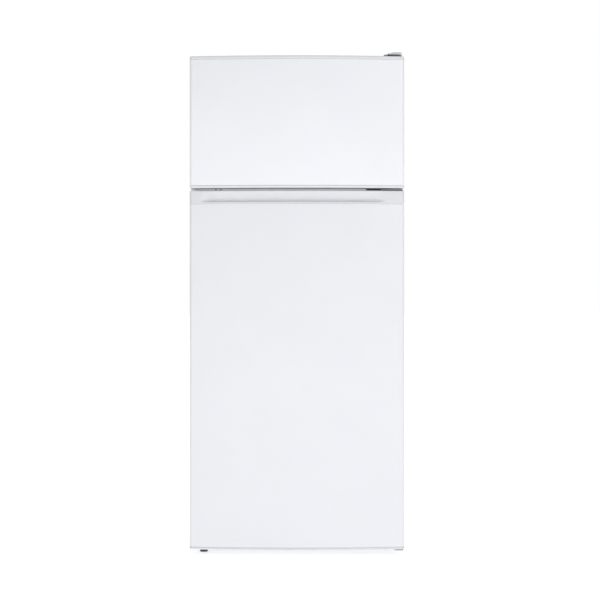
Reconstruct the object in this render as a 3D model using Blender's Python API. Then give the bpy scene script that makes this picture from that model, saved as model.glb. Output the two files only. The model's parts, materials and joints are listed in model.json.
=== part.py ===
"""Top freezer refrigerator with two right-hinged, bowed doors.

Metres, +Z up, +X to the right seen from the front, doors facing -Y.
The origin is on the floor, under the middle of the whole refrigerator.
"""

import math

import bmesh
import bpy
from mathutils import Matrix, Vector

OBJECT_NAME = "top_freezer_refrigerator"

# Overall sizes
WIDTH = 0.545
CABINET_DEPTH = 0.465
DOOR_EDGE = 0.036
DOOR_BOW = 0.018
DOOR_TO_CABINET = 0.011
REAR_STANDOFF = 0.030

# Heights, from the floor up
DOOR_BOTTOM = 0.018
CABINET_BOTTOM = 0.030
FRIDGE_DOOR_HEIGHT = 0.9094
DOOR_GAP = 0.0066
FREEZER_DOOR_HEIGHT = 0.3347
CABINET_ABOVE_DOOR = 0.003
HINGE_COVER_HEIGHT = 0.0084

# Clearance between pieces that touch, and between pieces that slide
TOUCH = 0.0003
SLIDE = 0.0010

# How far a cutter runs past the face that it opens
PAST = 0.02

# Sheets and walls
STEEL_SHEET = 0.0007
FRAME_STEEL = 0.0020
HINGE_STEEL = 0.0025
LINER_WALL = 0.0012
FLANGE_WIDTH = 0.018
SIDE_WALL = 0.042
BACK_WALL = 0.050
FREEZER_CEILING_WALL = 0.050
MULLION = 0.050
MULLION_RAIL_HEIGHT = 0.036
FRIDGE_FLOOR_ABOVE_BASE = 0.045
LINER_RADIUS = 0.012

# Compressor bay
BAY_DEPTH = 0.170
BAY_HEIGHT = 0.205
BAY_INSULATION = 0.040

# Doors
DOOR_CORNER = 0.009
TOP_CAP = 0.009
BOTTOM_CAP = 0.0065
GRIP_HEIGHT = 0.0335
GRIP_DEPTH = 0.009
GRIP_GROOVE = 0.0245
GRIP_RAMP = 0.0055
GRIP_END_LEFT = 0.024
GRIP_END_RIGHT = 0.047
GRIP_FADE = 0.030
GRIP_WALL = 0.004
SKIN_FLANGE = 0.010
LINER_EDGE = 0.003
DIKE_HEIGHT = 0.031
DIKE_WIDTH = 0.017
DIKE_DRAFT = 0.004
DIKE_CLEARANCE = 0.008
DIKE_END_CLEARANCE = 0.0125
GASKET_WIDTH = 0.014
GASKET_SIDE_INSET = 0.017
GASKET_END_INSET = 0.004
GASKET_PAST_LINER = 0.008
GASKET_CORNER = 0.006

# Shelves, bins and the drawer. A share is a part of the compartment's height above its floor.
BIN_DEPTH = 0.1092
BIN_WALL = 0.0022
BIN_DRAFT = 0.003
BIN_CORNER = 0.010
BOTTLE_BIN_ABOVE_STEP = 0.015
BOTTLE_BIN_HEIGHT = 0.110
MIDDLE_BIN_SHARE = 0.54773
MIDDLE_BIN_HEIGHT = 0.070
DAIRY_BIN_SHARE = 0.70423
DAIRY_BIN_HEIGHT = 0.060
DAIRY_COVER_HEIGHT = 0.050
DAIRY_COVER_WALL = 0.0025
DAIRY_PIVOT_BEHIND_BIN_FRONT = 0.022
DAIRY_PIVOT_BELOW_COVER_TOP = 0.008
RACK_DEPTH = 0.0842
RACK_SHARE = 0.12895
RACK_HEIGHT = 0.065
SHELF_BEHIND_BIN = 0.010
SHELF_AHEAD_OF_BACK = 0.010
SHELF_THICKNESS = 0.004
SHELF_SHARES = (0.48754, 0.72830)
FREEZER_SHELF_SHARE = 0.50489
RIB_WIDTH = 0.010
RIB_HEIGHT = 0.008
CRISPER_SIDE_GAP = 0.0155
CRISPER_BEHIND_DIKE = 0.065
CRISPER_AHEAD_OF_STEP = 0.004
CRISPER_BELOW_COVER = 0.014
CRISPER_WALL = 0.0025
CRISPER_DRAFT = 0.006
CRISPER_CORNER = 0.014
CRISPER_LIP_SHARE = 0.558
CRISPER_LIP_REACH = 0.010

# Thermostat housing and lamp cover
HOUSING_BEHIND_FRONT = 0.050
HOUSING_DEPTH = 0.145
HOUSING_HALF = 0.110
HOUSING_DROP = 0.036
HOUSING_WALL = 0.0025
KNOB_X = 0.070
KNOB_RADIUS = 0.014
KNOB_DEPTH = 0.011
KNOB_GRIP_DEPTH = 0.006
KNOB_GRIP_HALF = 0.003
KNOB_BELOW_CEILING = 0.018
SPINDLE_RADIUS = 0.003
SPINDLE_LENGTH = 0.016
LAMP_DROP = 0.020
LAMP_SIDES = (-0.090, 0.020)
LAMP_BEHIND_HOUSING_FRONT = 0.015
LAMP_AHEAD_OF_HOUSING_BACK = 0.020
LAMP_WALL = 0.002

# Cooling plates in the insulation, and the defrost drain
EVAPORATOR_SHEET = 0.0015
JACKET_BEHIND_FRONT = 0.115
JACKET_AHEAD_OF_BACK = 0.030
PLATE_SIDE_GAP = 0.0405
PLATE_BELOW_CEILING = 0.0457
PLATE_HEIGHT = 0.300
DRAIN_AHEAD_OF_BACK = 0.010
DRAIN_RADIUS = 0.008
DRAIN_WALL = 0.002
DRAIN_BELOW_BAY_TOP = 0.012

# Hinges
PIN_RADIUS = 0.004
PIN_SIDE_INSET = 0.0135
PIN_AHEAD_OF_REAR = 0.018
PIN_REACH = 0.005
PIN_CLEARANCE = 0.0003
HINGE_ARM = 0.024
LOWER_HINGE_BELOW_DOOR = 0.002
LOWER_FLANGE_REACH = 0.070
MIDDLE_ARM_REACH = 0.045
MIDDLE_FLANGE_HALF = 0.0055
SCREWS_FROM_PIN = (0.073, 0.054)
SCREW_RADIUS = 0.0022
SCREW_HEAD_RADIUS = 0.004
SCREW_HEAD = 0.002
SCREW_LENGTH = 0.009
SCREW_EDGE = 0.009
RAIL_PAD = 0.006
RAIL_PAD_HALF = 0.010
RAIL_PAD_EDGE = 0.012

# Feet and rollers
FOOT_RADIUS = 0.0105
FOOT_HEIGHT = 0.008
STEM_RADIUS = 0.004
FOOT_SIDE_INSET = 0.0315
LEFT_FOOT_BEHIND_CABINET_FRONT = 0.035
RIGHT_FOOT_BEHIND_CABINET_FRONT = 0.085
RAIL_DEPTH = 0.110
ROLLER_RADIUS = 0.0125
ROLLER_WIDTH = 0.018
ROLLER_SIDE_INSET = 0.045
ROLLER_AHEAD_OF_BACK = 0.040
AXLE_RADIUS = 0.003
AXLE_HALF_CHEEK = 0.010
ROLLER_CHEEK = 0.0020

# Compressor, drip tray, pipes and condenser
DECK_SHEET = 0.0012
COMPRESSOR_X = -0.060
COMPRESSOR_RADIUS = 0.066
COMPRESSOR_RIM = 0.003
COMPRESSOR_ABOVE_DECK = 0.010
ROOM_OVER_COMPRESSOR = 0.065
FOOT_PLATE_HALF = (0.090, 0.045)
STUD_PLACE = (0.078, 0.033)
STUD_RADIUS = 0.007
RELAY_GAP = 0.004
RELAY_SIZE = (0.032, 0.056, 0.055)
RELAY_ABOVE_BASE = 0.030
TRAY_HALF = (0.085, 0.062)
TRAY_HEIGHT = 0.022
TRAY_DRAFT = 0.006
TRAY_WALL = 0.002
TRAY_CORNER = 0.014
PIPE_RADIUS = 0.003
CONDENSER_TUBE = 0.0025
CONDENSER_BEHIND_CABINET = 0.012
CONDENSER_SIDE_GAP = 0.0475
CONDENSER_ABOVE_BAY = 0.065
CONDENSER_BELOW_TOP = 0.0917
CONDENSER_RUNS = 17
BRACKET_FROM_END = 0.030
BRACKET_HALF = 0.008
SPACER_HALF = 0.012
SPACER_FROM_COIL = (0.004, 0.022)
DRIER_SIDE_GAP = 0.025
DRIER_RADIUS = 0.009
DRIER_LENGTH = 0.090
DRIER_BELOW_COIL = 0.060
PIPE_END_GAP = 0.001
GLAND_SIDE_GAP = 0.030
GLAND_SIZE = (0.020, 0.018, 0.0197)
GLAND_AHEAD_OF_BACK = 0.012

# Places worked out from the sizes above
HALF = WIDTH / 2
TOTAL_DEPTH = DOOR_BOW + DOOR_EDGE + DOOR_TO_CABINET + CABINET_DEPTH + REAR_STANDOFF
FRONT = -TOTAL_DEPTH / 2
DOOR_SIDE_FRONT = FRONT + DOOR_BOW
DOOR_REAR = DOOR_SIDE_FRONT + DOOR_EDGE
CABINET_FRONT = DOOR_REAR + DOOR_TO_CABINET
CABINET_BACK = CABINET_FRONT + CABINET_DEPTH
REAR = CABINET_BACK + REAR_STANDOFF
FRIDGE_DOOR_TOP = DOOR_BOTTOM + FRIDGE_DOOR_HEIGHT
FREEZER_DOOR_BOTTOM = FRIDGE_DOOR_TOP + DOOR_GAP
FREEZER_DOOR_TOP = FREEZER_DOOR_BOTTOM + FREEZER_DOOR_HEIGHT
CABINET_TOP = FREEZER_DOOR_TOP + CABINET_ABOVE_DOOR
MULLION_CENTRE = FRIDGE_DOOR_TOP + DOOR_GAP / 2
FRIDGE_FLOOR = CABINET_BOTTOM + FRIDGE_FLOOR_ABOVE_BASE
FRIDGE_CEILING = MULLION_CENTRE - MULLION / 2
FREEZER_FLOOR = MULLION_CENTRE + MULLION / 2
FREEZER_CEILING = CABINET_TOP - FREEZER_CEILING_WALL
INNER_HALF = HALF - SIDE_WALL
INNER_BACK = CABINET_BACK - BACK_WALL
BAY_FRONT = CABINET_BACK - BAY_DEPTH
BAY_TOP = CABINET_BOTTOM + BAY_HEIGHT
STEP_TOP = BAY_TOP + BAY_INSULATION
DECK_TOP = CABINET_BOTTOM + DECK_SHEET
STEP_FRONT = BAY_FRONT - BAY_INSULATION
FRIDGE_ROOM = FRIDGE_CEILING - FRIDGE_FLOOR
FREEZER_ROOM = FREEZER_CEILING - FREEZER_FLOOR
PIN_X = HALF - PIN_SIDE_INSET
PIN_Y = DOOR_REAR - PIN_AHEAD_OF_REAR
PIN_HOLE_RADIUS = PIN_RADIUS + PIN_CLEARANCE
PIN_HOLE_DEPTH = PIN_REACH + 2 * TOUCH
LINER_REAR = DOOR_REAR + TOUCH + LINER_WALL
DIKE_TIP = DOOR_REAR + DIKE_HEIGHT
DIKE_HALF = INNER_HALF - DIKE_CLEARANCE
POCKET_HALF = DIKE_HALF - DIKE_WIDTH

# Colour, roughness and metallic value of each material
MATERIALS = {
    "white_paint": ((0.855, 0.863, 0.896), 0.35, 0.0),
    "white_plastic": ((0.76, 0.77, 0.80), 0.40, 0.0),
    "liner_plastic": ((0.86, 0.87, 0.88), 0.45, 0.0),
    "clear_plastic": ((0.80, 0.86, 0.90), 0.15, 0.0),
    "gasket_rubber": ((0.70, 0.71, 0.72), 0.70, 0.0),
    "foam": ((0.85, 0.76, 0.52), 0.90, 0.0),
    "zinc_steel": ((0.55, 0.56, 0.58), 0.35, 1.0),
    "black_paint": ((0.02, 0.02, 0.022), 0.45, 0.0),
    "black_plastic": ((0.03, 0.03, 0.032), 0.50, 0.0),
    "copper": ((0.80, 0.42, 0.28), 0.30, 1.0),
    "aluminium": ((0.78, 0.79, 0.80), 0.35, 1.0),
    "shelf_glass": ((0.72, 0.86, 0.83), 0.05, 0.0),
}


def clear_scene():
    for obj in list(bpy.data.objects):
        bpy.data.objects.remove(obj, do_unlink=True)


def make_collection(name, helper=False):
    collection = bpy.data.collections.new(name)
    bpy.context.scene.collection.children.link(collection)
    collection.hide_render = helper
    return collection


clear_scene()
PARTS = make_collection(OBJECT_NAME)
CUTTERS = make_collection("cutters", helper=True)


def material(name):
    found = bpy.data.materials.get(name)
    if found:
        return found
    colour, roughness, metallic = MATERIALS[name]
    made = bpy.data.materials.new(name)
    made.use_nodes = True
    shader = made.node_tree.nodes["Principled BSDF"]
    shader.inputs["Base Color"].default_value = (*colour, 1.0)
    shader.inputs["Roughness"].default_value = roughness
    shader.inputs["Metallic"].default_value = metallic
    return made


def place(name, shape, look=None, origin=(0, 0, 0)):
    """Turn a bmesh in world space into an object whose origin is at the given point.

    With no look, the object is a cutter.
    """
    bmesh.ops.recalc_face_normals(shape, faces=shape.faces)
    shape.transform(Matrix.Translation(-Vector(origin)))
    mesh = bpy.data.meshes.new(name)
    shape.to_mesh(mesh)
    shape.free()
    obj = bpy.data.objects.new(name, mesh)
    obj.location = origin
    if look:
        mesh.materials.append(material(look))
        mesh.shade_smooth()
        mesh.set_sharp_from_angle(angle=math.radians(35))
        PARTS.objects.link(obj)
    else:
        obj.hide_render = True
        obj.display_type = "WIRE"
        CUTTERS.objects.link(obj)
    return obj


def box_shape(low, high, radius=0.0, along="XYZ", segments=2):
    """A box from its low corner to its high corner, its edges along the named axes rounded."""
    low = Vector(low)
    high = Vector(high)
    shape = bmesh.new()
    bmesh.ops.create_cube(shape, size=1.0)
    bmesh.ops.scale(shape, vec=high - low, verts=shape.verts)
    bmesh.ops.translate(shape, vec=(low + high) / 2, verts=shape.verts)
    if radius:
        axes = ["XYZ".index(letter) for letter in along]
        edges = [edge for edge in shape.edges if edge_axis(edge) in axes]
        bmesh.ops.bevel(
            shape, geom=edges, offset=radius, segments=segments, profile=0.5, affect="EDGES"
        )
    return shape


def edge_axis(edge):
    run = edge.verts[1].co - edge.verts[0].co
    return max(range(3), key=lambda axis: abs(run[axis]))


def box(name, low, high, look=None, radius=0.0, along="XYZ", segments=2, origin=(0, 0, 0)):
    return place(name, box_shape(low, high, radius, along, segments), look, origin)


def cylinder(name, centre, radius, length, look=None, axis="Z", sides=24, origin=(0, 0, 0)):
    """A cylinder centred on a point, its length along the named axis."""
    shape = bmesh.new()
    turn = {"X": Matrix.Rotation(math.pi / 2, 4, "Y"), "Y": Matrix.Rotation(math.pi / 2, 4, "X")}
    bmesh.ops.create_cone(
        shape,
        cap_ends=True,
        segments=sides,
        radius1=radius,
        radius2=radius,
        depth=length,
        matrix=Matrix.Translation(centre) @ turn.get(axis, Matrix.Identity(4)),
    )
    return place(name, shape, look, origin)


def combine(target, other, operation):
    modifier = target.modifiers.new(other.name, "BOOLEAN")
    modifier.operation = operation
    modifier.object = other
    return target


def cut(target, *cutters):
    for cutter in cutters:
        combine(target, cutter, "DIFFERENCE")
    return target


def join(target, *additions):
    """Unite the target with helpers, which are kept with the cutters."""
    for addition in additions:
        combine(target, addition, "UNION")
    return target


def rounded_ring(axis, level, low, high, radius, steps=4):
    """A closed ring of points on a rounded rectangle, in the plane across the named axis."""
    points = []
    corners = [
        (high[0] - radius, high[1] - radius, 0.0),
        (low[0] + radius, high[1] - radius, 0.5),
        (low[0] + radius, low[1] + radius, 1.0),
        (high[0] - radius, low[1] + radius, 1.5),
    ]
    for across, along, start in corners:
        for step in range(steps + 1):
            angle = math.pi * (start + 0.5 * step / steps)
            u = across + radius * math.cos(angle)
            v = along + radius * math.sin(angle)
            points.append((u, level, v) if axis == "Y" else (u, v, level))
    return points


def loft(name, rings, look=None, closed=False, origin=(0, 0, 0)):
    """Skin a row of rings with equal counts. An open row is capped, a closed row meets its start."""
    shape = bmesh.new()
    rows = [[shape.verts.new(point) for point in ring] for ring in rings]
    pairs = list(zip(rows, rows[1:]))
    if closed:
        pairs.append((rows[-1], rows[0]))
    else:
        shape.faces.new(rows[0])
        shape.faces.new(rows[-1])
    for first, second in pairs:
        for index in range(len(first)):
            after = (index + 1) % len(first)
            shape.faces.new((first[index], first[after], second[after], second[index]))
    return place(name, shape, look, origin)


def outline_prism(name, outline, bottom, top, look=None, origin=(0, 0, 0)):
    """A flat outline in X and Y, raised from one height to another."""
    curve = bpy.data.curves.new(name, "CURVE")
    curve.dimensions = "2D"
    curve.fill_mode = "BOTH"
    curve.extrude = (top - bottom) / 2
    spline = curve.splines.new("POLY")
    spline.points.add(len(outline) - 1)
    for point, (x, y) in zip(spline.points, outline):
        point.co = (x, y, 0.0, 1.0)
    spline.use_cyclic_u = True
    return curve_to_mesh(name, curve, Matrix.Translation((0, 0, (top + bottom) / 2)), look, origin)


def tube(name, route, radius, look=None, sides_level=2, origin=(0, 0, 0)):
    """A round tube along a row of points, with closed ends."""
    curve = bpy.data.curves.new(name, "CURVE")
    curve.dimensions = "3D"
    curve.bevel_depth = radius
    curve.bevel_resolution = sides_level
    curve.use_fill_caps = True
    spline = curve.splines.new("POLY")
    spline.points.add(len(route) - 1)
    for point, place_at in zip(spline.points, route):
        point.co = (*place_at, 1.0)
    return curve_to_mesh(name, curve, Matrix.Identity(4), look, origin)


def curve_to_mesh(name, curve, matrix, look, origin):
    """The curve's solid as a mesh object, its loose caps welded on."""
    guide = bpy.data.objects.new(name + "_guide", curve)
    PARTS.objects.link(guide)
    graph = bpy.context.evaluated_depsgraph_get()
    mesh = bpy.data.meshes.new_from_object(guide.evaluated_get(graph))
    shape = bmesh.new()
    shape.from_mesh(mesh)
    bmesh.ops.remove_doubles(shape, verts=shape.verts, dist=0.00001)
    shape.transform(matrix)
    bpy.data.objects.remove(guide, do_unlink=True)
    bpy.data.meshes.remove(mesh)
    bpy.data.curves.remove(curve)
    return place(name, shape, look, origin)


def bend(route, radius, steps=4):
    """A route with each inner corner replaced by an arc-like bend of about the given radius."""
    points = [Vector(route[0])]
    for before, corner, after in zip(route, route[1:], route[2:]):
        corner = Vector(corner)
        start = corner + (Vector(before) - corner).normalized() * radius
        end = corner + (Vector(after) - corner).normalized() * radius
        for step in range(steps + 1):
            share = step / steps
            near = start.lerp(corner, share)
            far = corner.lerp(end, share)
            points.append(near.lerp(far, share))
    points.append(Vector(route[-1]))
    return points


# Doors


def bow(x, inset=0.0):
    """How far forward the door's face stands at x, as its y, on a surface set in by the inset."""
    radius = (HALF**2 + DOOR_BOW**2) / (2 * DOOR_BOW)
    return FRONT + radius - math.sqrt((radius - inset) ** 2 - x**2)


def door_face(x, inset=0.0):
    """The bowed face with its rounded vertical corners."""
    corner = DOOR_CORNER - inset
    start = HALF - DOOR_CORNER
    beyond = max(abs(x) - start, 0.0)
    sideways = min(abs(x), start)
    return bow(sideways, inset) + corner - math.sqrt(max(corner**2 - beyond**2, 0.0))


def face_stations(inset=0.0, across=22, around=4):
    """X stations from the left side of a door to its right side, close together at the corners."""
    flat = HALF - DOOR_CORNER
    corner = DOOR_CORNER - inset
    arc = [flat + corner * math.sin(0.5 * math.pi * step / around) for step in range(around, 0, -1)]
    middle = [flat * (2 * step / across - 1) for step in range(across + 1)]
    return [-x for x in arc] + middle + arc[::-1]


def face_path(inset=0.0):
    return [(x, door_face(x, inset)) for x in face_stations(inset)]


def door_outline(inset, rear):
    half = HALF - inset
    return face_path(inset) + [(half, rear), (-half, rear)]


def skin_outline():
    """The bowed sheet with its two side walls and their returned flanges, as one thin outline."""
    flange = HALF - SKIN_FLANGE
    inner_half = HALF - STEEL_SHEET
    inner_rear = DOOR_REAR - STEEL_SHEET
    outside = [
        (-flange, DOOR_REAR),
        (-HALF, DOOR_REAR),
        *face_path(),
        (HALF, DOOR_REAR),
        (flange, DOOR_REAR),
    ]
    inside = [
        (-flange, inner_rear),
        (-inner_half, inner_rear),
        *face_path(STEEL_SHEET),
        (inner_half, inner_rear),
        (flange, inner_rear),
    ]
    return outside + inside[::-1]


def pin_hole(name, opening, direction):
    """A blind hole for a hinge pin, from its opening up (+1) or down (-1)."""
    margin = 0.001
    middle = opening + direction * (PIN_HOLE_DEPTH - margin) / 2
    return cylinder(name, (PIN_X, PIN_Y, middle), PIN_HOLE_RADIUS, PIN_HOLE_DEPTH + margin)


def door_origin(bottom):
    return (PIN_X, PIN_Y, bottom)


def dike_rings(low_z, high_z, gap=0.0):
    """Rings of the liner's raised wall: outer foot, outer tip, inner tip and inner foot."""
    foot = LINER_REAR - gap
    tip = DIKE_TIP - gap
    outer = DIKE_HALF - gap
    inner = POCKET_HALF + gap
    edge = DIKE_END_CLEARANCE + DIKE_WIDTH
    levels = [
        (foot, outer, DIKE_END_CLEARANCE + gap, LINER_RADIUS),
        (tip, outer - DIKE_DRAFT, DIKE_END_CLEARANCE + DIKE_DRAFT + gap, LINER_RADIUS),
        (tip, inner + DIKE_DRAFT, edge - DIKE_DRAFT - gap, LINER_RADIUS),
        (foot, inner, edge - gap, LINER_RADIUS),
    ]
    return [
        rounded_ring("Y", y, (-half, low_z + inset), (half, high_z - inset), radius)
        for y, half, inset, radius in levels
    ]


def door_liner(prefix, bottom, top, space_low, space_high):
    """The inner plastic sheet: a flat edge, the raised wall and the pocket floor inside it."""
    edge_half = HALF - LINER_EDGE
    edge_low = (-edge_half, bottom + LINER_EDGE)
    edge_high = (edge_half, top - LINER_EDGE)
    rings = [
        *reversed(dike_rings(space_low, space_high, LINER_WALL)),
        rounded_ring("Y", LINER_REAR - LINER_WALL, edge_low, edge_high, LINER_EDGE),
        rounded_ring("Y", LINER_REAR, edge_low, edge_high, LINER_EDGE),
        *dike_rings(space_low, space_high),
    ]
    return loft(prefix + "_liner", rings, "liner_plastic", origin=door_origin(bottom))


def door_foam(prefix, bottom, top, space_low, space_high):
    """The insulation between the skin, the two caps and the liner, with its ridge inside the dike."""
    inset = STEEL_SHEET + TOUCH
    rear = DOOR_REAR - STEEL_SHEET - TOUCH
    foam = outline_prism(
        prefix + "_foam", door_outline(inset, rear), bottom, top, "foam", door_origin(bottom)
    )
    gap = LINER_WALL + TOUCH
    foot_out, tip_out, tip_in, foot_in = dike_rings(space_low, space_high, gap)
    sunk = DOOR_REAR - 3 * LINER_WALL
    seat_out = [(x, sunk, z) for x, _, z in foot_out]
    seat_in = [(x, sunk, z) for x, _, z in foot_in]
    rings = [seat_out, foot_out, tip_out, tip_in, foot_in, seat_in]
    join(foam, loft(prefix + "_foam_ridge", rings, closed=True))
    return foam


def gasket_ring(y, low, high, inset):
    """A rounded ring of the seal, set in from its outer edge."""
    half = HALF - GASKET_SIDE_INSET - inset
    return rounded_ring("Y", y, (-half, low + inset), (half, high - inset), GASKET_CORNER)


def door_gasket(prefix, bottom, low, high):
    """The magnetic seal: one soft ring between the door liner and the cabinet's front edge."""
    front = LINER_REAR + TOUCH
    rear = CABINET_FRONT - TOUCH
    waist = GASKET_WIDTH * 0.2
    profile = [(front, 0.0), ((front + rear) / 2, waist), (rear, 0.0)]
    outside = [gasket_ring(y, low, high, inset) for y, inset in profile]
    inside = [gasket_ring(y, low, high, GASKET_WIDTH - inset) for y, inset in reversed(profile)]
    rings = outside + inside
    return loft(prefix + "_gasket", rings, "gasket_rubber", closed=True, origin=door_origin(bottom))


def door_skin(prefix, bottom, low, high):
    name = prefix + "_skin"
    return outline_prism(name, skin_outline(), low, high, "white_paint", door_origin(bottom))


def flat_cap(name, bottom, low, high):
    outline = door_outline(0.0, DOOR_REAR)
    return outline_prism(name, outline, low, high, "white_plastic", door_origin(bottom))


def grip_share(x):
    """How much of the grip's full depth the scoop has at x: none at its ends, all along its middle."""
    left = (x + HALF - GRIP_END_LEFT) / GRIP_FADE
    right = (HALF - GRIP_END_RIGHT - x) / GRIP_FADE
    share = max(0.0, min(1.0, left, right))
    return share * share * (3 - 2 * share)


def grip_cap():
    """The fridge door's top moulding, its face scooped back to a groove that fingers pull on."""
    top = FRIDGE_DOOR_TOP
    low = top - GRIP_HEIGHT
    edge = 0.002
    rings = []
    for x in grip_stations():
        face = door_face(x)
        depth = GRIP_DEPTH * grip_share(x)
        profile = [
            (DOOR_REAR, top),
            (face + edge, top),
            (face + 0.3 * edge, top - 0.3 * edge),
            (face, top - edge),
            (face + 0.45 * depth, top - 0.5 * GRIP_GROOVE),
            (face + 0.85 * depth, top - 0.85 * GRIP_GROOVE),
            (face + depth, top - GRIP_GROOVE),
            (face + 0.75 * depth, top - GRIP_GROOVE - 0.35 * GRIP_RAMP),
            (face, top - GRIP_GROOVE - GRIP_RAMP),
            (face, low),
            (DOOR_REAR, low),
        ]
        rings.append([(x, y, z) for y, z in profile])
    cap = loft("fridge_door_grip_cap", rings, "white_plastic", origin=door_origin(DOOR_BOTTOM))
    core = grip_core("grip_cap_core", 0.0, low - GRIP_WALL)
    return cut(cap, core, pin_hole("grip_cap_pin_hole", top, -1))


def grip_core(name, gap, low):
    """The hollow behind the grip's face, open below, or with a gap the insulation that fills it."""
    front = DOOR_SIDE_FRONT + GRIP_DEPTH + GRIP_WALL
    return box(
        name,
        (GRIP_END_LEFT - HALF + gap, front + gap, low),
        (PIN_X - 4 * PIN_RADIUS - gap, DOOR_REAR - GRIP_WALL - gap, FRIDGE_DOOR_TOP - GRIP_WALL - gap),
    )


def grip_stations():
    """The face's own stations, with more of them where the scoop's ends fade."""
    stations = set(round(x, 6) for x in face_stations())
    for start in (GRIP_END_LEFT - HALF, HALF - GRIP_END_RIGHT - GRIP_FADE):
        stations.update(round(start + GRIP_FADE * step / 5, 6) for step in range(6))
    return sorted(stations)


BIN_HALF = POCKET_HALF - DIKE_DRAFT - SLIDE
BIN_FRONT = LINER_REAR + TOUCH
BIN_REAR = BIN_FRONT + BIN_DEPTH
RACK_REAR = BIN_FRONT + RACK_DEPTH
BOTTLE_BIN_LOW = STEP_TOP + BOTTLE_BIN_ABOVE_STEP
MIDDLE_BIN_LOW = FRIDGE_FLOOR + MIDDLE_BIN_SHARE * FRIDGE_ROOM
DAIRY_BIN_LOW = FRIDGE_FLOOR + DAIRY_BIN_SHARE * FRIDGE_ROOM
DAIRY_BIN_TOP = DAIRY_BIN_LOW + DAIRY_BIN_HEIGHT
DAIRY_COVER_TOP = DAIRY_BIN_TOP + DAIRY_COVER_HEIGHT
DAIRY_PIVOT_Y = BIN_FRONT + DAIRY_PIVOT_BEHIND_BIN_FRONT
DAIRY_PIVOT_Z = DAIRY_COVER_TOP - DAIRY_PIVOT_BELOW_COVER_TOP
RACK_LOW = FREEZER_FLOOR + RACK_SHARE * FREEZER_ROOM
CHEEK_HALF = 0.010
CHEEK_SUNK = 0.012
PEG_RADIUS = 0.0025
PEG_LENGTH = 0.0060
COVER_BORE_RADIUS = 0.0031


def bin_ring(level, rear, inset, radius):
    low_corner = (-BIN_HALF + inset, BIN_FRONT + inset)
    high_corner = (BIN_HALF - inset, rear - inset)
    return rounded_ring("Z", level, low_corner, high_corner, radius)


def bin_tray(name, low, height, door_bottom, rear=BIN_REAR, look="clear_plastic"):
    """An open tray on the door, narrower at the floor than at the rim."""
    rim = low + height
    inner_corner = BIN_CORNER - BIN_WALL
    rings = [
        bin_ring(low, rear, BIN_DRAFT, BIN_CORNER),
        bin_ring(rim, rear, 0.0, BIN_CORNER),
        bin_ring(rim, rear, BIN_WALL, inner_corner),
        bin_ring(low + BIN_WALL, rear, BIN_WALL + BIN_DRAFT, inner_corner),
    ]
    return loft(name, rings, look, origin=door_origin(door_bottom))


def dairy_bin():
    """The dairy tray, with two upright cheeks that carry its cover's pivots."""
    tray = bin_tray("dairy_bin", DAIRY_BIN_LOW, DAIRY_BIN_HEIGHT, DOOR_BOTTOM, look="liner_plastic")
    for side in (-1, 1):
        outer = side * BIN_HALF
        inner = side * (BIN_HALF - BIN_WALL)
        upright = box(
            "dairy_cheek",
            (min(outer, inner), DAIRY_PIVOT_Y - CHEEK_HALF, DAIRY_BIN_TOP - CHEEK_SUNK),
            (max(outer, inner), DAIRY_PIVOT_Y + CHEEK_HALF, DAIRY_COVER_TOP),
        )
        centre = (inner - side * 0.3 * PEG_LENGTH, DAIRY_PIVOT_Y, DAIRY_PIVOT_Z)
        peg = cylinder("dairy_peg", centre, PEG_RADIUS, PEG_LENGTH, axis="X", sides=12)
        join(tray, upright, peg)
    return tray


def dairy_cover():
    """A flip-up lid: a top and a wall facing the room's inside, hung on the tray's two pegs."""
    half = BIN_HALF - BIN_WALL - SLIDE
    wall = DAIRY_COVER_WALL
    top = DAIRY_COVER_TOP
    low = DAIRY_BIN_TOP + SLIDE
    rear = BIN_REAR + 0.003
    front = DAIRY_PIVOT_Y - CHEEK_HALF
    cover = box(
        "dairy_cover",
        (-half, front, low),
        (half, rear, top),
        "clear_plastic",
        radius=0.010,
        along="X",
        segments=3,
        origin=(0, DAIRY_PIVOT_Y, DAIRY_PIVOT_Z),
    )
    hollow = box(
        "dairy_cover_hollow",
        (-half + wall, front - PAST, low - PAST),
        (half - wall, rear - wall, top - wall),
        radius=0.008,
        along="X",
        segments=3,
    )
    below_pivot = box(
        "dairy_cover_heel",
        (-WIDTH, front - PAST, low - PAST),
        (WIDTH, DAIRY_PIVOT_Y + 2 * PAST, DAIRY_PIVOT_Z - CHEEK_HALF),
    )
    centre = (0, DAIRY_PIVOT_Y, DAIRY_PIVOT_Z)
    bore = cylinder("dairy_cover_bore", centre, COVER_BORE_RADIUS, WIDTH, axis="X", sides=16)
    return cut(cover, hollow, below_pivot, bore)


def freezer_door():
    bottom = FREEZER_DOOR_BOTTOM
    top = FREEZER_DOOR_TOP
    cap_low = bottom + BOTTOM_CAP
    cap_high = top - TOP_CAP
    prefix = "freezer_door"
    door_skin(prefix, bottom, cap_low + TOUCH, cap_high - TOUCH)
    top_cap = flat_cap(prefix + "_top_cap", bottom, cap_high, top)
    cut(top_cap, pin_hole("freezer_top_pin_hole", top, -1))
    bottom_cap = flat_cap(prefix + "_bottom_cap", bottom, bottom, cap_low)
    cut(bottom_cap, pin_hole("freezer_bottom_pin_hole", bottom, 1))
    door_foam(prefix, cap_low + TOUCH, cap_high - TOUCH, FREEZER_FLOOR, FREEZER_CEILING)
    door_liner(prefix, bottom, top, FREEZER_FLOOR, FREEZER_CEILING)
    seal_top = FREEZER_CEILING + GASKET_WIDTH + GASKET_PAST_LINER
    door_gasket(prefix, bottom, bottom + GASKET_END_INSET, seal_top)
    bin_tray("freezer_door_rack", RACK_LOW, RACK_HEIGHT, bottom, rear=RACK_REAR)


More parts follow.
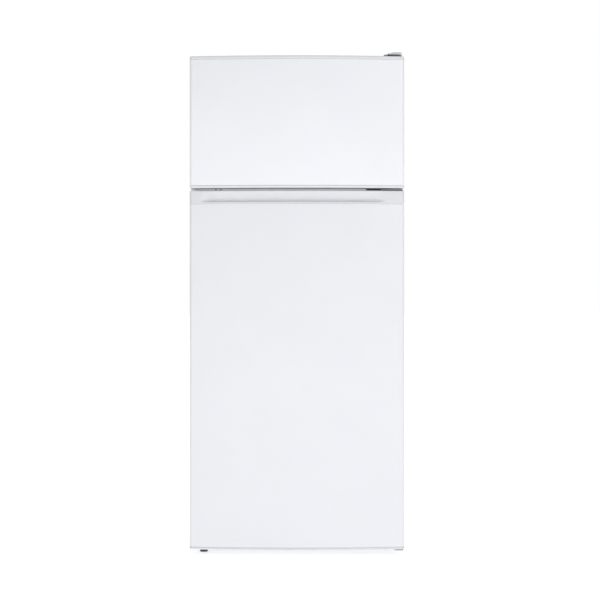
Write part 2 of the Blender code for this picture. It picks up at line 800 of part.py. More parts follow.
def fridge_door():
    bottom = DOOR_BOTTOM
    top = FRIDGE_DOOR_TOP
    cap_low = bottom + BOTTOM_CAP
    cap_high = top - GRIP_HEIGHT
    prefix = "fridge_door"
    door_skin(prefix, bottom, cap_low + TOUCH, cap_high - TOUCH)
    grip_cap()
    bottom_cap = flat_cap(prefix + "_bottom_cap", bottom, bottom, cap_low)
    cut(bottom_cap, pin_hole("fridge_bottom_pin_hole", bottom, 1))
    foam = door_foam(prefix, cap_low + TOUCH, cap_high - TOUCH, FRIDGE_FLOOR, FRIDGE_CEILING)
    join(foam, grip_core("grip_core_foam", TOUCH, cap_high - GRIP_WALL))
    door_liner(prefix, bottom, top, FRIDGE_FLOOR, FRIDGE_CEILING)
    seal_low = FRIDGE_FLOOR - GASKET_WIDTH - GASKET_PAST_LINER
    door_gasket(prefix, bottom, seal_low, top - GASKET_END_INSET)
    bin_tray("bottle_bin", BOTTLE_BIN_LOW, BOTTLE_BIN_HEIGHT, bottom)
    bin_tray("middle_bin", MIDDLE_BIN_LOW, MIDDLE_BIN_HEIGHT, bottom)
    dairy_bin()
    dairy_cover()


# Cabinet

OPENING_HALF = HALF - FLANGE_WIDTH
SHELL_HALF = HALF - STEEL_SHEET - TOUCH
FOAM_FRONT = CABINET_FRONT + LINER_WALL + TOUCH
PANEL_FRONT = CABINET_BACK - STEEL_SHEET
PANEL_TOP = CABINET_TOP - STEEL_SHEET - TOUCH
WRAP_RADIUS = 0.006
JACKET_FRONT = CABINET_FRONT + JACKET_BEHIND_FRONT
JACKET_BACK = INNER_BACK - JACKET_AHEAD_OF_BACK
PLATE_HALF = INNER_HALF - PLATE_SIDE_GAP
PLATE_HIGH = FRIDGE_CEILING - PLATE_BELOW_CEILING
SHELF_FRONT = BIN_REAR + SHELF_BEHIND_BIN
SHELF_BACK = INNER_BACK - SHELF_AHEAD_OF_BACK
SHELF_HEIGHTS = [FRIDGE_FLOOR + share * FRIDGE_ROOM for share in SHELF_SHARES]
FREEZER_SHELF_Z = FREEZER_FLOOR + FREEZER_SHELF_SHARE * FREEZER_ROOM
RIB_FRONT = SHELF_FRONT - RIB_WIDTH
RIB_BACK = INNER_BACK - LINER_RADIUS - SLIDE
CRISPER_COVER_Z = STEP_TOP + TOUCH
DRAIN_X = COMPRESSOR_X
DRAIN_Y = INNER_BACK - DRAIN_AHEAD_OF_BACK
SCREW_HOLE_RADIUS = SCREW_RADIUS + PIN_CLEARANCE
HINGE_SCREWS = [PIN_X - reach for reach in SCREWS_FROM_PIN]
RAIL_LOW = MULLION_CENTRE - MULLION_RAIL_HEIGHT / 2
RAIL_HIGH = MULLION_CENTRE + MULLION_RAIL_HEIGHT / 2


def outer_wrap():
    """One bent sheet: left side, top, right side and the narrow front flange around the doors."""
    wrap = box(
        "outer_wrap",
        (-HALF, CABINET_FRONT, CABINET_BOTTOM - PAST),
        (HALF, CABINET_BACK, CABINET_TOP),
        "white_paint",
        radius=WRAP_RADIUS,
        along="Y",
        segments=3,
    )
    inside = box(
        "wrap_inside",
        (-HALF + STEEL_SHEET, CABINET_FRONT + STEEL_SHEET, CABINET_BOTTOM - 2 * PAST),
        (HALF - STEEL_SHEET, CABINET_BACK + PAST, CABINET_TOP - STEEL_SHEET),
        radius=WRAP_RADIUS - STEEL_SHEET,
        along="Y",
        segments=3,
    )
    opening = box(
        "wrap_opening",
        (-OPENING_HALF, CABINET_FRONT - PAST, CABINET_BOTTOM - 2 * PAST),
        (OPENING_HALF, CABINET_FRONT + PAST, CABINET_TOP - FLANGE_WIDTH),
    )
    below_low = (-WIDTH, -WIDTH, CABINET_BOTTOM - 2 * PAST)
    below = box("wrap_below", below_low, (WIDTH, WIDTH, CABINET_BOTTOM))
    return cut(wrap, inside, opening, below)


def back_panel():
    return box(
        "back_panel",
        (-SHELL_HALF, PANEL_FRONT, BAY_TOP + TOUCH),
        (SHELL_HALF, CABINET_BACK, PANEL_TOP),
        "white_paint",
        radius=WRAP_RADIUS,
        along="Y",
        segments=3,
    )


def step_panel():
    """The cabinet's floor sheet, stepped up over the compressor."""
    start = CABINET_FRONT + STEEL_SHEET + TOUCH
    riser_front = BAY_FRONT - STEEL_SHEET
    floor = box(
        "step_panel",
        (-SHELL_HALF, start, CABINET_BOTTOM),
        (SHELL_HALF, BAY_FRONT, CABINET_BOTTOM + STEEL_SHEET),
        "zinc_steel",
    )
    riser = box(
        "step_riser",
        (-SHELL_HALF, riser_front, CABINET_BOTTOM),
        (SHELL_HALF, BAY_FRONT, BAY_TOP),
    )
    roof = box(
        "step_roof",
        (-SHELL_HALF, riser_front, BAY_TOP - STEEL_SHEET),
        (SHELL_HALF, CABINET_BACK, BAY_TOP),
    )
    join(floor, riser, roof)
    return cut(floor, drain_hole("step_drain_hole", BAY_TOP))


def drain_hole(name, height):
    centre = (DRAIN_X, DRAIN_Y, height)
    return cylinder(name, centre, DRAIN_RADIUS + TOUCH, 4 * PAST, sides=16)


def compressor_deck():
    """The steel plate that closes the bay's floor and carries the compressor."""
    return box(
        "compressor_deck",
        (-SHELL_HALF, BAY_FRONT + TOUCH, CABINET_BOTTOM),
        (SHELL_HALF, CABINET_BACK - TOUCH, DECK_TOP),
        "zinc_steel",
    )


def fridge_space(name, grow, front, look=None):
    """The fridge compartment's space with its step at the back, grown outwards by a wall."""
    space = box(
        name,
        (-INNER_HALF - grow, front, FRIDGE_FLOOR - grow),
        (INNER_HALF + grow, INNER_BACK + grow, FRIDGE_CEILING + grow),
        look,
        radius=LINER_RADIUS + grow,
        segments=3,
    )
    step = box(
        name + "_step",
        (-WIDTH, STEP_FRONT + grow, 0.0),
        (WIDTH, WIDTH, STEP_TOP - grow),
        radius=LINER_RADIUS - grow,
        along="X",
        segments=3,
    )
    return cut(space, step)


def shelf_ribs(name, height, back):
    """A pair of moulded ledges on the liner's side walls, under a shelf."""
    ribs = []
    for side in (-1, 1):
        inner = side * (INNER_HALF - RIB_WIDTH)
        outer = side * (INNER_HALF + LINER_WALL / 2)
        ribs.append(
            box(
                name,
                (min(inner, outer), RIB_FRONT, height - RIB_HEIGHT),
                (max(inner, outer), back, height - TOUCH),
            )
        )
    return ribs


def fridge_liner():
    liner = fridge_space("fridge_liner", LINER_WALL, CABINET_FRONT - 2 * PAST, "liner_plastic")
    ahead = box("fridge_liner_ahead", (-WIDTH, -WIDTH, 0.0), (WIDTH, CABINET_FRONT, CABINET_TOP))
    cut(liner, ahead)
    edge = OPENING_HALF - TOUCH
    flange = box(
        "fridge_liner_flange",
        (-edge, CABINET_FRONT, CABINET_BOTTOM + STEEL_SHEET + TOUCH),
        (edge, CABINET_FRONT + LINER_WALL, RAIL_LOW - TOUCH),
    )
    join(liner, flange)
    cut(liner, fridge_space("fridge_cavity", 0.0, CABINET_FRONT - 2 * PAST))
    for height in SHELF_HEIGHTS:
        join(liner, *shelf_ribs("fridge_rib", height, RIB_BACK))
    join(liner, *shelf_ribs("crisper_rib", CRISPER_COVER_Z, STEP_FRONT - 2 * SLIDE))
    return cut(liner, drain_hole("fridge_drain_hole", STEP_TOP))


def freezer_liner():
    """The freezer's plastic tub, its front edge turned out behind the freezer door's seal."""
    edge = OPENING_HALF - TOUCH
    edge_low = (-edge, RAIL_HIGH + TOUCH)
    edge_high = (edge, CABINET_TOP - FLANGE_WIDTH - TOUCH)
    inner = ((-INNER_HALF, FREEZER_FLOOR), (INNER_HALF, FREEZER_CEILING), LINER_RADIUS)
    wall = LINER_WALL
    outer = (
        (-INNER_HALF - wall, FREEZER_FLOOR - wall),
        (INNER_HALF + wall, FREEZER_CEILING + wall),
        LINER_RADIUS + wall,
    )
    rings = [
        rounded_ring("Y", INNER_BACK, *inner),
        rounded_ring("Y", CABINET_FRONT, *inner),
        rounded_ring("Y", CABINET_FRONT, edge_low, edge_high, wall),
        rounded_ring("Y", CABINET_FRONT + wall, edge_low, edge_high, wall),
        rounded_ring("Y", CABINET_FRONT + wall, *outer),
        rounded_ring("Y", INNER_BACK + wall, *outer),
    ]
    liner = loft("freezer_liner", rings, "liner_plastic")
    return join(liner, *shelf_ribs("freezer_rib", FREEZER_SHELF_Z, RIB_BACK))


def freezer_evaporator():
    """The aluminium jacket around the outside of the freezer liner, inside the insulation."""
    gap = LINER_WALL + TOUCH
    jacket = evaporator_block("freezer_evaporator", gap + EVAPORATOR_SHEET, 0.0, "aluminium")
    return cut(jacket, evaporator_block("evaporator_inside", gap, PAST))


def evaporator_block(name, grow, longer, look=None):
    return box(
        name,
        (-INNER_HALF - grow, JACKET_FRONT - longer, FREEZER_FLOOR - grow),
        (INNER_HALF + grow, JACKET_BACK + longer, FREEZER_CEILING + grow),
        look,
        radius=LINER_RADIUS + grow,
        along="Y",
        segments=4,
    )


def fridge_evaporator_plate(name, grow, look=None):
    """The cold plate against the outside of the fridge liner's back wall, inside the insulation."""
    front = INNER_BACK + LINER_WALL + TOUCH
    return box(
        name,
        (-PLATE_HALF - grow, front - grow, PLATE_HIGH - PLATE_HEIGHT - grow),
        (PLATE_HALF + grow, front + EVAPORATOR_SHEET + grow, PLATE_HIGH + grow),
        look,
    )


def rail_pad(name, grow, look=None):
    """The thick backing behind the mullion rail that takes the hinge's screws."""
    half = RAIL_PAD_HALF + grow
    front = CABINET_FRONT + LINER_WALL / 2
    back = CABINET_FRONT + LINER_WALL + RAIL_PAD + grow
    return box(
        name,
        (min(HINGE_SCREWS) - RAIL_PAD_EDGE - grow, front, MULLION_CENTRE - half),
        (OPENING_HALF - 0.004 + grow, back, MULLION_CENTRE + half),
        look,
    )


def screw_holes(name):
    return [
        cylinder(
            name,
            (x, CABINET_FRONT, MULLION_CENTRE),
            SCREW_HOLE_RADIUS,
            2 * PAST,
            axis="Y",
            sides=16,
        )
        for x in HINGE_SCREWS
    ]


def mullion_rail():
    """The steel strip across the cabinet's front between the two compartments."""
    half = OPENING_HALF - TOUCH
    rail = box(
        "mullion_rail",
        (-half, CABINET_FRONT, RAIL_LOW),
        (half, CABINET_FRONT + LINER_WALL, RAIL_HIGH),
        "white_paint",
    )
    join(rail, rail_pad("rail_pad", 0.0))
    return cut(rail, *screw_holes("rail_screw_hole"))


def cabinet_foam():
    foam = box(
        "cabinet_foam",
        (-SHELL_HALF, FOAM_FRONT, CABINET_BOTTOM + STEEL_SHEET + TOUCH),
        (SHELL_HALF, PANEL_FRONT - TOUCH, PANEL_TOP),
        "foam",
        radius=WRAP_RADIUS,
        along="Y",
        segments=3,
    )
    bay_front = BAY_FRONT - STEEL_SHEET - TOUCH
    bay = box("foam_bay", (-WIDTH, bay_front, 0.0), (WIDTH, WIDTH, BAY_TOP + TOUCH))
    gap = LINER_WALL + TOUCH
    freezer = box(
        "foam_freezer",
        (-INNER_HALF - gap, FOAM_FRONT - PAST, FREEZER_FLOOR - gap),
        (INNER_HALF + gap, INNER_BACK + gap, FREEZER_CEILING + gap),
        radius=LINER_RADIUS + gap,
        along="Y",
        segments=4,
    )
    jacket = evaporator_block("foam_jacket", gap + EVAPORATOR_SHEET + TOUCH, TOUCH)
    fridge = fridge_space("foam_fridge", gap, FOAM_FRONT - PAST)
    cut(foam, bay, freezer, jacket, fridge)
    cut(foam, fridge_evaporator_plate("foam_plate", TOUCH), rail_pad("foam_pad", TOUCH))
    cut(foam, *screw_holes("foam_screw_hole"))
    return cut(foam, drain_hole("foam_drain_hole", (BAY_TOP + STEP_TOP) / 2))


def drain_tube():
    """The defrost drain, from the fridge liner's step down through the insulation to the tray."""
    low = BAY_TOP - DRAIN_BELOW_BAY_TOP
    high = STEP_TOP - LINER_WALL
    centre = (DRAIN_X, DRAIN_Y, (low + high) / 2)
    drain = cylinder("drain_tube", centre, DRAIN_RADIUS, high - low, "black_plastic", sides=16)
    bore = cylinder("drain_bore", centre, DRAIN_RADIUS - DRAIN_WALL, high - low + PAST, sides=16)
    return cut(drain, bore)


def shelf(name, height, look):
    half = INNER_HALF - SLIDE
    return box(
        name,
        (-half, SHELF_FRONT, height),
        (half, SHELF_BACK, height + SHELF_THICKNESS),
        look,
        radius=0.004,
        along="Z",
    )


def shelves():
    shelf("crisper_cover_glass", CRISPER_COVER_Z, "shelf_glass")
    shelf("glass_shelf_1", SHELF_HEIGHTS[0], "shelf_glass")
    shelf("glass_shelf_2", SHELF_HEIGHTS[1], "shelf_glass")
    shelf("freezer_shelf", FREEZER_SHELF_Z, "liner_plastic")


CRISPER_HALF = INNER_HALF - CRISPER_SIDE_GAP
CRISPER_FRONT = DIKE_TIP + CRISPER_BEHIND_DIKE
CRISPER_BACK = STEP_FRONT - CRISPER_AHEAD_OF_STEP


def crisper_ring(level, inset, radius):
    low_corner = (-CRISPER_HALF + inset, CRISPER_FRONT + inset)
    high_corner = (CRISPER_HALF - inset, CRISPER_BACK - inset)
    return rounded_ring("Z", level, low_corner, high_corner, radius)


def crisper_drawer():
    """The vegetable drawer: an open tub on the fridge's floor in front of the step."""
    low = FRIDGE_FLOOR + TOUCH
    high = CRISPER_COVER_Z - CRISPER_BELOW_COVER
    wall = CRISPER_WALL
    rings = [
        crisper_ring(low, CRISPER_DRAFT, CRISPER_CORNER),
        crisper_ring(high, 0.0, CRISPER_CORNER),
        crisper_ring(high, wall, CRISPER_CORNER - wall),
        crisper_ring(low + wall, wall + CRISPER_DRAFT, CRISPER_CORNER - wall),
    ]
    drawer = loft("crisper_drawer", rings, "clear_plastic")
    lip_half = CRISPER_LIP_SHARE * CRISPER_HALF
    lip = box(
        "crisper_lip",
        (-lip_half, CRISPER_FRONT - CRISPER_LIP_REACH, high - 0.006),
        (lip_half, CRISPER_FRONT + wall / 2, high - 0.002),
        radius=0.001,
    )
    return join(drawer, lip)


# Hinges

HINGE_ARM_HALF = HINGE_ARM / 2
HINGE_NOSE = 0.010
PLATE_TOP_LOW = CABINET_TOP + TOUCH
COVER_WALL = 0.002
COVER_LEFT_SLOPE = 0.022
COVER_REAR_SLOPE = 0.014
COVER_LEFT_FOOT = 1.25 * COVER_WALL
COVER_REAR_FOOT = 1.75 * COVER_WALL
COVER_LEFT_HEAD = COVER_LEFT_SLOPE + 0.3 * COVER_WALL
COVER_REAR_HEAD = COVER_REAR_SLOPE + 1.2 * COVER_WALL
COVER_PLATE_GAP = 0.0009
PLATE_SHARE = HINGE_STEEL / (HINGE_COVER_HEIGHT - TOUCH - COVER_WALL)
PLATE_LEFT_INSET = COVER_LEFT_FOOT + PLATE_SHARE * (COVER_LEFT_HEAD - COVER_LEFT_FOOT) + COVER_PLATE_GAP
PLATE_REAR_INSET = COVER_REAR_FOOT + PLATE_SHARE * (COVER_REAR_HEAD - COVER_REAR_FOOT) + COVER_PLATE_GAP
COVER_RIGHT = PIN_X + 0.008
COVER_LEFT = PIN_X - 0.038
COVER_FRONT = PIN_Y - 0.0135
COVER_REAR = CABINET_FRONT + 0.065
RAIL_FRONT = CABINET_FRONT + 0.006
LOWER_PLATE_TOP = DOOR_BOTTOM - LOWER_HINGE_BELOW_DOOR
PLATE_TOP_HIGH = PLATE_TOP_LOW + HINGE_STEEL


def hinge_pin(name, low, high):
    return cylinder(name, (PIN_X, PIN_Y, (low + high) / 2), PIN_RADIUS, high - low, sides=24)


def top_hinge():
    plate = box(
        "top_hinge",
        (COVER_LEFT + PLATE_LEFT_INSET, PIN_Y - HINGE_NOSE, PLATE_TOP_LOW),
        (COVER_RIGHT - COVER_WALL - SLIDE, COVER_REAR - PLATE_REAR_INSET, PLATE_TOP_HIGH),
        "zinc_steel",
        radius=0.004,
        along="Z",
    )
    pin_top = PLATE_TOP_HIGH - HINGE_STEEL / 2
    return join(plate, hinge_pin("top_pin", FREEZER_DOOR_TOP - PIN_REACH, pin_top))


def top_hinge_cover():
    """A cap over the top hinge, its left side and its rear sloped down to the cabinet."""
    low = PLATE_TOP_LOW
    top = CABINET_TOP + HINGE_COVER_HEIGHT
    wall = COVER_WALL
    skirt = 0.0015
    front_lean = 0.003
    side_lean = 0.001

    def ring(level, left, front, right, rear, radius):
        low_corner = (COVER_LEFT + left, COVER_FRONT + front)
        high_corner = (COVER_RIGHT - right, COVER_REAR - rear)
        return rounded_ring("Z", level, low_corner, high_corner, radius)

    ceiling = ring(
        top - wall,
        COVER_LEFT_HEAD,
        front_lean + wall,
        side_lean + wall,
        COVER_REAR_HEAD,
        wall,
    )
    rings = [
        ceiling,
        ring(low, COVER_LEFT_FOOT, wall, wall, COVER_REAR_FOOT, wall),
        ring(low, 0.0, 0.0, 0.0, 0.0, 2 * wall),
        ring(low + skirt, 0.0, 0.0, 0.0, 0.0, 2 * wall),
        ring(top, COVER_LEFT_SLOPE, front_lean, side_lean, COVER_REAR_SLOPE, 2 * wall),
    ]
    return loft("top_hinge_cover", rings, "white_plastic")


def middle_hinge():
    """The bracket in the gap between the doors: a screwed flange, an arm and a pin up and down."""
    low = MULLION_CENTRE - HINGE_STEEL / 2
    flange_rear = CABINET_FRONT - TOUCH
    flange = FRAME_STEEL
    arm = box(
        "middle_hinge",
        (PIN_X - MIDDLE_ARM_REACH, PIN_Y - HINGE_NOSE, low),
        (PIN_X + HINGE_NOSE, flange_rear - flange / 2, low + HINGE_STEEL),
        "zinc_steel",
        radius=0.005,
        along="Z",
    )
    upright = box(
        "middle_hinge_flange",
        (min(HINGE_SCREWS) - SCREW_EDGE, flange_rear - flange, MULLION_CENTRE - MIDDLE_FLANGE_HALF),
        (OPENING_HALF - TOUCH, flange_rear, MULLION_CENTRE + MIDDLE_FLANGE_HALF),
    )
    pin = hinge_pin("middle_pin", FRIDGE_DOOR_TOP - PIN_REACH, FREEZER_DOOR_BOTTOM + PIN_REACH)
    join(arm, upright, pin)
    return cut(arm, *screw_holes("hinge_screw_hole"))


def hinge_screws():
    head_rear = CABINET_FRONT - TOUCH - FRAME_STEEL - TOUCH
    for index, x in enumerate(HINGE_SCREWS, start=1):
        head = cylinder(
            f"middle_hinge_screw_{index}",
            (x, head_rear - SCREW_HEAD / 2, MULLION_CENTRE),
            SCREW_HEAD_RADIUS,
            SCREW_HEAD,
            "zinc_steel",
            axis="Y",
            sides=20,
        )
        shank = cylinder(
            "screw_shank",
            (x, head_rear - SCREW_HEAD / 2 + SCREW_LENGTH / 2, MULLION_CENTRE),
            SCREW_RADIUS,
            SCREW_LENGTH,
            axis="Y",
            sides=16,
        )
        join(head, shank)


def lower_hinge():
    """The bracket under the fridge door, screwed to the front rail, with its pin up into the door."""
    low = LOWER_PLATE_TOP - HINGE_STEEL
    rear = RAIL_FRONT - TOUCH
    arm = box(
        "lower_hinge",
        (PIN_X - HINGE_ARM_HALF, PIN_Y - HINGE_NOSE, low),
        (PIN_X + HINGE_ARM_HALF, rear - HINGE_STEEL / 2, LOWER_PLATE_TOP),
        "zinc_steel",
        radius=0.006,
        along="Z",
    )
    upright = box(
        "lower_hinge_flange",
        (PIN_X - LOWER_FLANGE_REACH, rear - HINGE_STEEL, low),
        (PIN_X + HINGE_ARM_HALF, rear, CABINET_BOTTOM - HINGE_STEEL),
    )
    pin = hinge_pin("lower_pin", LOWER_PLATE_TOP - HINGE_STEEL / 2, DOOR_BOTTOM + PIN_REACH)
    return join(arm, upright, pin)


# Base: front rail, feet and rollers

RAIL_HALF = HALF - 0.010
RAIL_TOP = CABINET_BOTTOM - TOUCH
RAIL_LIP_LOW = LOWER_PLATE_TOP - HINGE_STEEL + 0.001
FEET = {
    "foot_left": (-HALF + FOOT_SIDE_INSET, CABINET_FRONT + LEFT_FOOT_BEHIND_CABINET_FRONT),
    "foot_right": (HALF - FOOT_SIDE_INSET, CABINET_FRONT + RIGHT_FOOT_BEHIND_CABINET_FRONT),
}
ROLLER_X = HALF - ROLLER_SIDE_INSET
ROLLER_Y = CABINET_BACK - ROLLER_AHEAD_OF_BACK


def base_rail():
    """The pressed channel across the cabinet's front, with a threaded boss over each foot."""
    rail_back = RAIL_FRONT + RAIL_DEPTH
    rail = box(
        "base_rail",
        (-RAIL_HALF, RAIL_FRONT, RAIL_LIP_LOW),
        (RAIL_HALF, rail_back, RAIL_TOP),
        "zinc_steel",
    )
    hollow = box(
        "rail_hollow",
        (-RAIL_HALF - PAST, RAIL_FRONT + FRAME_STEEL, RAIL_LIP_LOW - PAST),
        (RAIL_HALF + PAST, rail_back - FRAME_STEEL, RAIL_TOP - FRAME_STEEL),
    )
    cut(rail, hollow)
    boss_low = RAIL_LIP_LOW + 0.001
    boss_high = RAIL_TOP - TOUCH
    for name, (x, y) in FEET.items():
        middle = (boss_low + boss_high) / 2
        boss = cylinder(name + "_boss", (x, y, middle), 2 * STEM_RADIUS, boss_high - boss_low)
        join(rail, boss)
        cut(rail, cylinder(name + "_bore", (x, y, RAIL_TOP), STEM_RADIUS + TOUCH, 4 * PAST))
    return rail


def turned(name, profile, look, centre, steps=24):
    """A solid turned about the vertical, from a profile of radius and height run top to bottom."""
    shape = bmesh.new()
    points = [shape.verts.new((radius, 0, height)) for radius, height in profile]
    edges = [shape.edges.new(pair) for pair in zip(points, points[1:])]
    bmesh.ops.spin(
        shape,
        geom=points + edges,
        cent=(0, 0, 0),
        axis=(0, 0, 1),
        angle=2 * math.pi,
        steps=steps,
        use_duplicate=False,
    )
    bmesh.ops.remove_doubles(shape, verts=shape.verts, dist=0.00001)
    shape.transform(Matrix.Translation((*centre, 0)))
    return place(name, shape, look, origin=(*centre, 0))


def feet():
    top = RAIL_TOP - 0.0025
    for name, centre in FEET.items():
        profile = [
            (0, top),
            (STEM_RADIUS, top),
            (STEM_RADIUS, FOOT_HEIGHT),
            (FOOT_RADIUS - 0.001, FOOT_HEIGHT),
            (FOOT_RADIUS, FOOT_HEIGHT - 0.001),
            (FOOT_RADIUS, 0.001),
            (FOOT_RADIUS - 0.001, 0),
            (0, 0),
        ]
        turned(name, profile, "black_plastic", centre)


def roller_bracket(side, x):
    """An upside-down U of sheet steel with the roller's axle across it."""
    inside = ROLLER_WIDTH / 2 + SLIDE
    top = CABINET_BOTTOM - TOUCH
    bracket = box(
        "roller_bracket_" + side,
        (x - inside - ROLLER_CHEEK, ROLLER_Y - AXLE_HALF_CHEEK, ROLLER_RADIUS - 0.005),
        (x + inside + ROLLER_CHEEK, ROLLER_Y + AXLE_HALF_CHEEK, top),
        "zinc_steel",
    )
    slot = box(
        "roller_slot",
        (x - inside, ROLLER_Y - PAST, -PAST),
        (x + inside, ROLLER_Y + PAST, top - ROLLER_CHEEK),
    )
    centre = (x, ROLLER_Y, ROLLER_RADIUS)
    length = 2 * inside + ROLLER_CHEEK
    axle = cylinder("roller_axle", centre, AXLE_RADIUS, length, axis="X", sides=16)
    cut(bracket, slot)
    return join(bracket, axle)


def roller(side, x):
    centre = (x, ROLLER_Y, ROLLER_RADIUS)
    wheel = cylinder(
        "roller_" + side,
        centre,
        ROLLER_RADIUS,
        ROLLER_WIDTH,
        "black_plastic",
        axis="X",
        sides=32,
        origin=centre,
    )
    bore_radius = AXLE_RADIUS + 2 * TOUCH
    bore = cylinder("roller_bore", centre, bore_radius, ROLLER_WIDTH + PAST, axis="X", sides=16)
    return cut(wheel, bore)


def rollers():
    for side, sign in (("left", -1), ("right", 1)):
        roller_bracket(side, sign * ROLLER_X)
        roller(side, sign * ROLLER_X)


# Fridge interior: thermostat and lamp

HOUSING_FRONT = CABINET_FRONT + HOUSING_BEHIND_FRONT
HOUSING_BACK = HOUSING_FRONT + HOUSING_DEPTH
KNOB_Z = FRIDGE_CEILING - KNOB_BELOW_CEILING


def control_housing():
    """The box on the fridge's ceiling that holds the thermostat and the lamp, open at its top."""
    top = FRIDGE_CEILING - TOUCH
    low = top - HOUSING_DROP
    wall = HOUSING_WALL
    housing = box(
        "control_housing",
        (-HOUSING_HALF, HOUSING_FRONT, low),
        (HOUSING_HALF, HOUSING_BACK, top),
        "liner_plastic",
        radius=0.006,
        along="Z",
    )
    hollow = box(
        "housing_hollow",
        (-HOUSING_HALF + wall, HOUSING_FRONT + wall, low + wall),
        (HOUSING_HALF - wall, HOUSING_BACK - wall, top + PAST),
    )
    centre = (KNOB_X, HOUSING_FRONT, KNOB_Z)
    hole = cylinder("spindle_hole", centre, SPINDLE_RADIUS + TOUCH, PAST, axis="Y", sides=16)
    return cut(housing, hollow, hole)


def thermostat_knob():
    """A dial with a flat bar to turn it by, and the spindle behind it."""
    front = HOUSING_FRONT - TOUCH - KNOB_DEPTH
    origin = (KNOB_X, HOUSING_FRONT, KNOB_Z)
    knob = cylinder(
        "thermostat_knob",
        (KNOB_X, front + KNOB_DEPTH / 2, KNOB_Z),
        KNOB_RADIUS,
        KNOB_DEPTH,
        "white_plastic",
        axis="Y",
        sides=28,
        origin=origin,
    )
    spindle = cylinder("knob_spindle", origin, SPINDLE_RADIUS, SPINDLE_LENGTH, axis="Y", sides=16)
    join(knob, spindle)
    for sign in (-1, 1):
        inner = KNOB_X + sign * KNOB_GRIP_HALF
        outer = KNOB_X + sign * PAST
        side = box(
            "knob_side",
            (min(inner, outer), front - PAST, KNOB_Z - PAST),
            (max(inner, outer), front + KNOB_GRIP_DEPTH, KNOB_Z + PAST),
        )
        cut(knob, side)
    return knob


def lamp_lens():
    """The clear cover under the lamp, an open-topped tub against the housing's underside."""
    high = FRIDGE_CEILING - HOUSING_DROP - 2 * TOUCH
    low = high - LAMP_DROP
    front = HOUSING_FRONT + LAMP_BEHIND_HOUSING_FRONT
    back = HOUSING_BACK - LAMP_AHEAD_OF_HOUSING_BACK
    left, right = LAMP_SIDES
    wall = LAMP_WALL
    lens = box(
        "lamp_lens",
        (left, front, low),
        (right, back, high),
        "clear_plastic",
        radius=0.006,
        along="Z",
    )
    hollow = box(
        "lens_hollow",
        (left + wall, front + wall, low + wall),
        (right - wall, back - wall, high + PAST),
    )
    return cut(lens, hollow)


# Back: compressor, tray, pipes and condenser

COMPRESSOR_Y = (BAY_FRONT + CABINET_BACK) / 2
COMPRESSOR_LOW = DECK_TOP + COMPRESSOR_ABOVE_DECK
COMPRESSOR_HEIGHT = BAY_HEIGHT - ROOM_OVER_COMPRESSOR
TRAY_LOW = COMPRESSOR_LOW + COMPRESSOR_HEIGHT + TOUCH
CONDENSER_Y = CABINET_BACK + CONDENSER_BEHIND_CABINET
CONDENSER_HALF = HALF - CONDENSER_SIDE_GAP
CONDENSER_LOW = BAY_TOP + CONDENSER_ABOVE_BAY
CONDENSER_HIGH = CABINET_TOP - CONDENSER_BELOW_TOP


def quarter_steps(count):
    return [0.5 * math.pi * step / count for step in range(count + 1)]


def pot_profile():
    """Radius and height down the pot: a domed crown, a welded rim at the waist, a bowl below."""
    radius = COMPRESSOR_RADIUS
    rim = radius + COMPRESSOR_RIM
    top = COMPRESSOR_LOW + COMPRESSOR_HEIGHT
    waist = COMPRESSOR_LOW + 0.55 * COMPRESSOR_HEIGHT
    crown = 0.32 * COMPRESSOR_HEIGHT
    bowl = 0.18 * COMPRESSOR_HEIGHT
    profile = [
        (radius * math.sin(angle), top - crown * (1 - math.cos(angle))) for angle in quarter_steps(6)
    ]
    profile += [(radius, waist), (rim, waist - 0.002), (rim, waist - 0.008), (radius, waist - 0.010)]
    profile += [
        (radius * math.cos(angle), COMPRESSOR_LOW + bowl * (1 - math.sin(angle)))
        for angle in quarter_steps(5)
    ]
    return profile


def compressor():
    """The sealed steel pot on its foot plate, standing on four studs."""
    pot = turned("compressor", pot_profile(), "black_paint", (COMPRESSOR_X, COMPRESSOR_Y))
    half_x, half_y = FOOT_PLATE_HALF
    plate = box(
        "compressor_plate",
        (COMPRESSOR_X - half_x, COMPRESSOR_Y - half_y, COMPRESSOR_LOW + 0.001),
        (COMPRESSOR_X + half_x, COMPRESSOR_Y + half_y, COMPRESSOR_LOW + 0.004),
        radius=0.012,
        along="Z",
    )
    join(pot, plate)
    low = DECK_TOP + TOUCH
    high = COMPRESSOR_LOW + 0.002
    for across in (-1, 1):
        for back in (-1, 1):
            x = COMPRESSOR_X + across * STUD_PLACE[0]
            y = COMPRESSOR_Y + back * STUD_PLACE[1]
            centre = (x, y, (low + high) / 2)
            join(pot, cylinder("compressor_stud", centre, STUD_RADIUS, high - low, sides=12))
    return pot


def relay_cover():
    width, depth, height = RELAY_SIZE
    left = COMPRESSOR_X + COMPRESSOR_RADIUS + RELAY_GAP
    low = COMPRESSOR_LOW + RELAY_ABOVE_BASE
    return box(
        "relay_cover",
        (left, COMPRESSOR_Y - depth / 2, low),
        (left + width, COMPRESSOR_Y + depth / 2, low + height),
        "black_plastic",
        radius=0.004,
    )


def tray_ring(level, inset, radius):
    half_x, half_y = TRAY_HALF
    low_corner = (COMPRESSOR_X - half_x + inset, COMPRESSOR_Y - half_y + inset)
    high_corner = (COMPRESSOR_X + half_x - inset, COMPRESSOR_Y + half_y - inset)
    return rounded_ring("Z", level, low_corner, high_corner, radius)


def drip_tray():
    """The open tray on the compressor, where the defrost water evaporates."""
    high = TRAY_LOW + TRAY_HEIGHT
    wall = TRAY_WALL
    rings = [
        tray_ring(TRAY_LOW, TRAY_DRAFT, TRAY_CORNER),
        tray_ring(high, 0.0, TRAY_CORNER),
        tray_ring(high, wall, TRAY_CORNER - wall),
        tray_ring(TRAY_LOW + wall, wall + TRAY_DRAFT, TRAY_CORNER - wall),
    ]
    return loft("drip_tray", rings, "black_plastic")


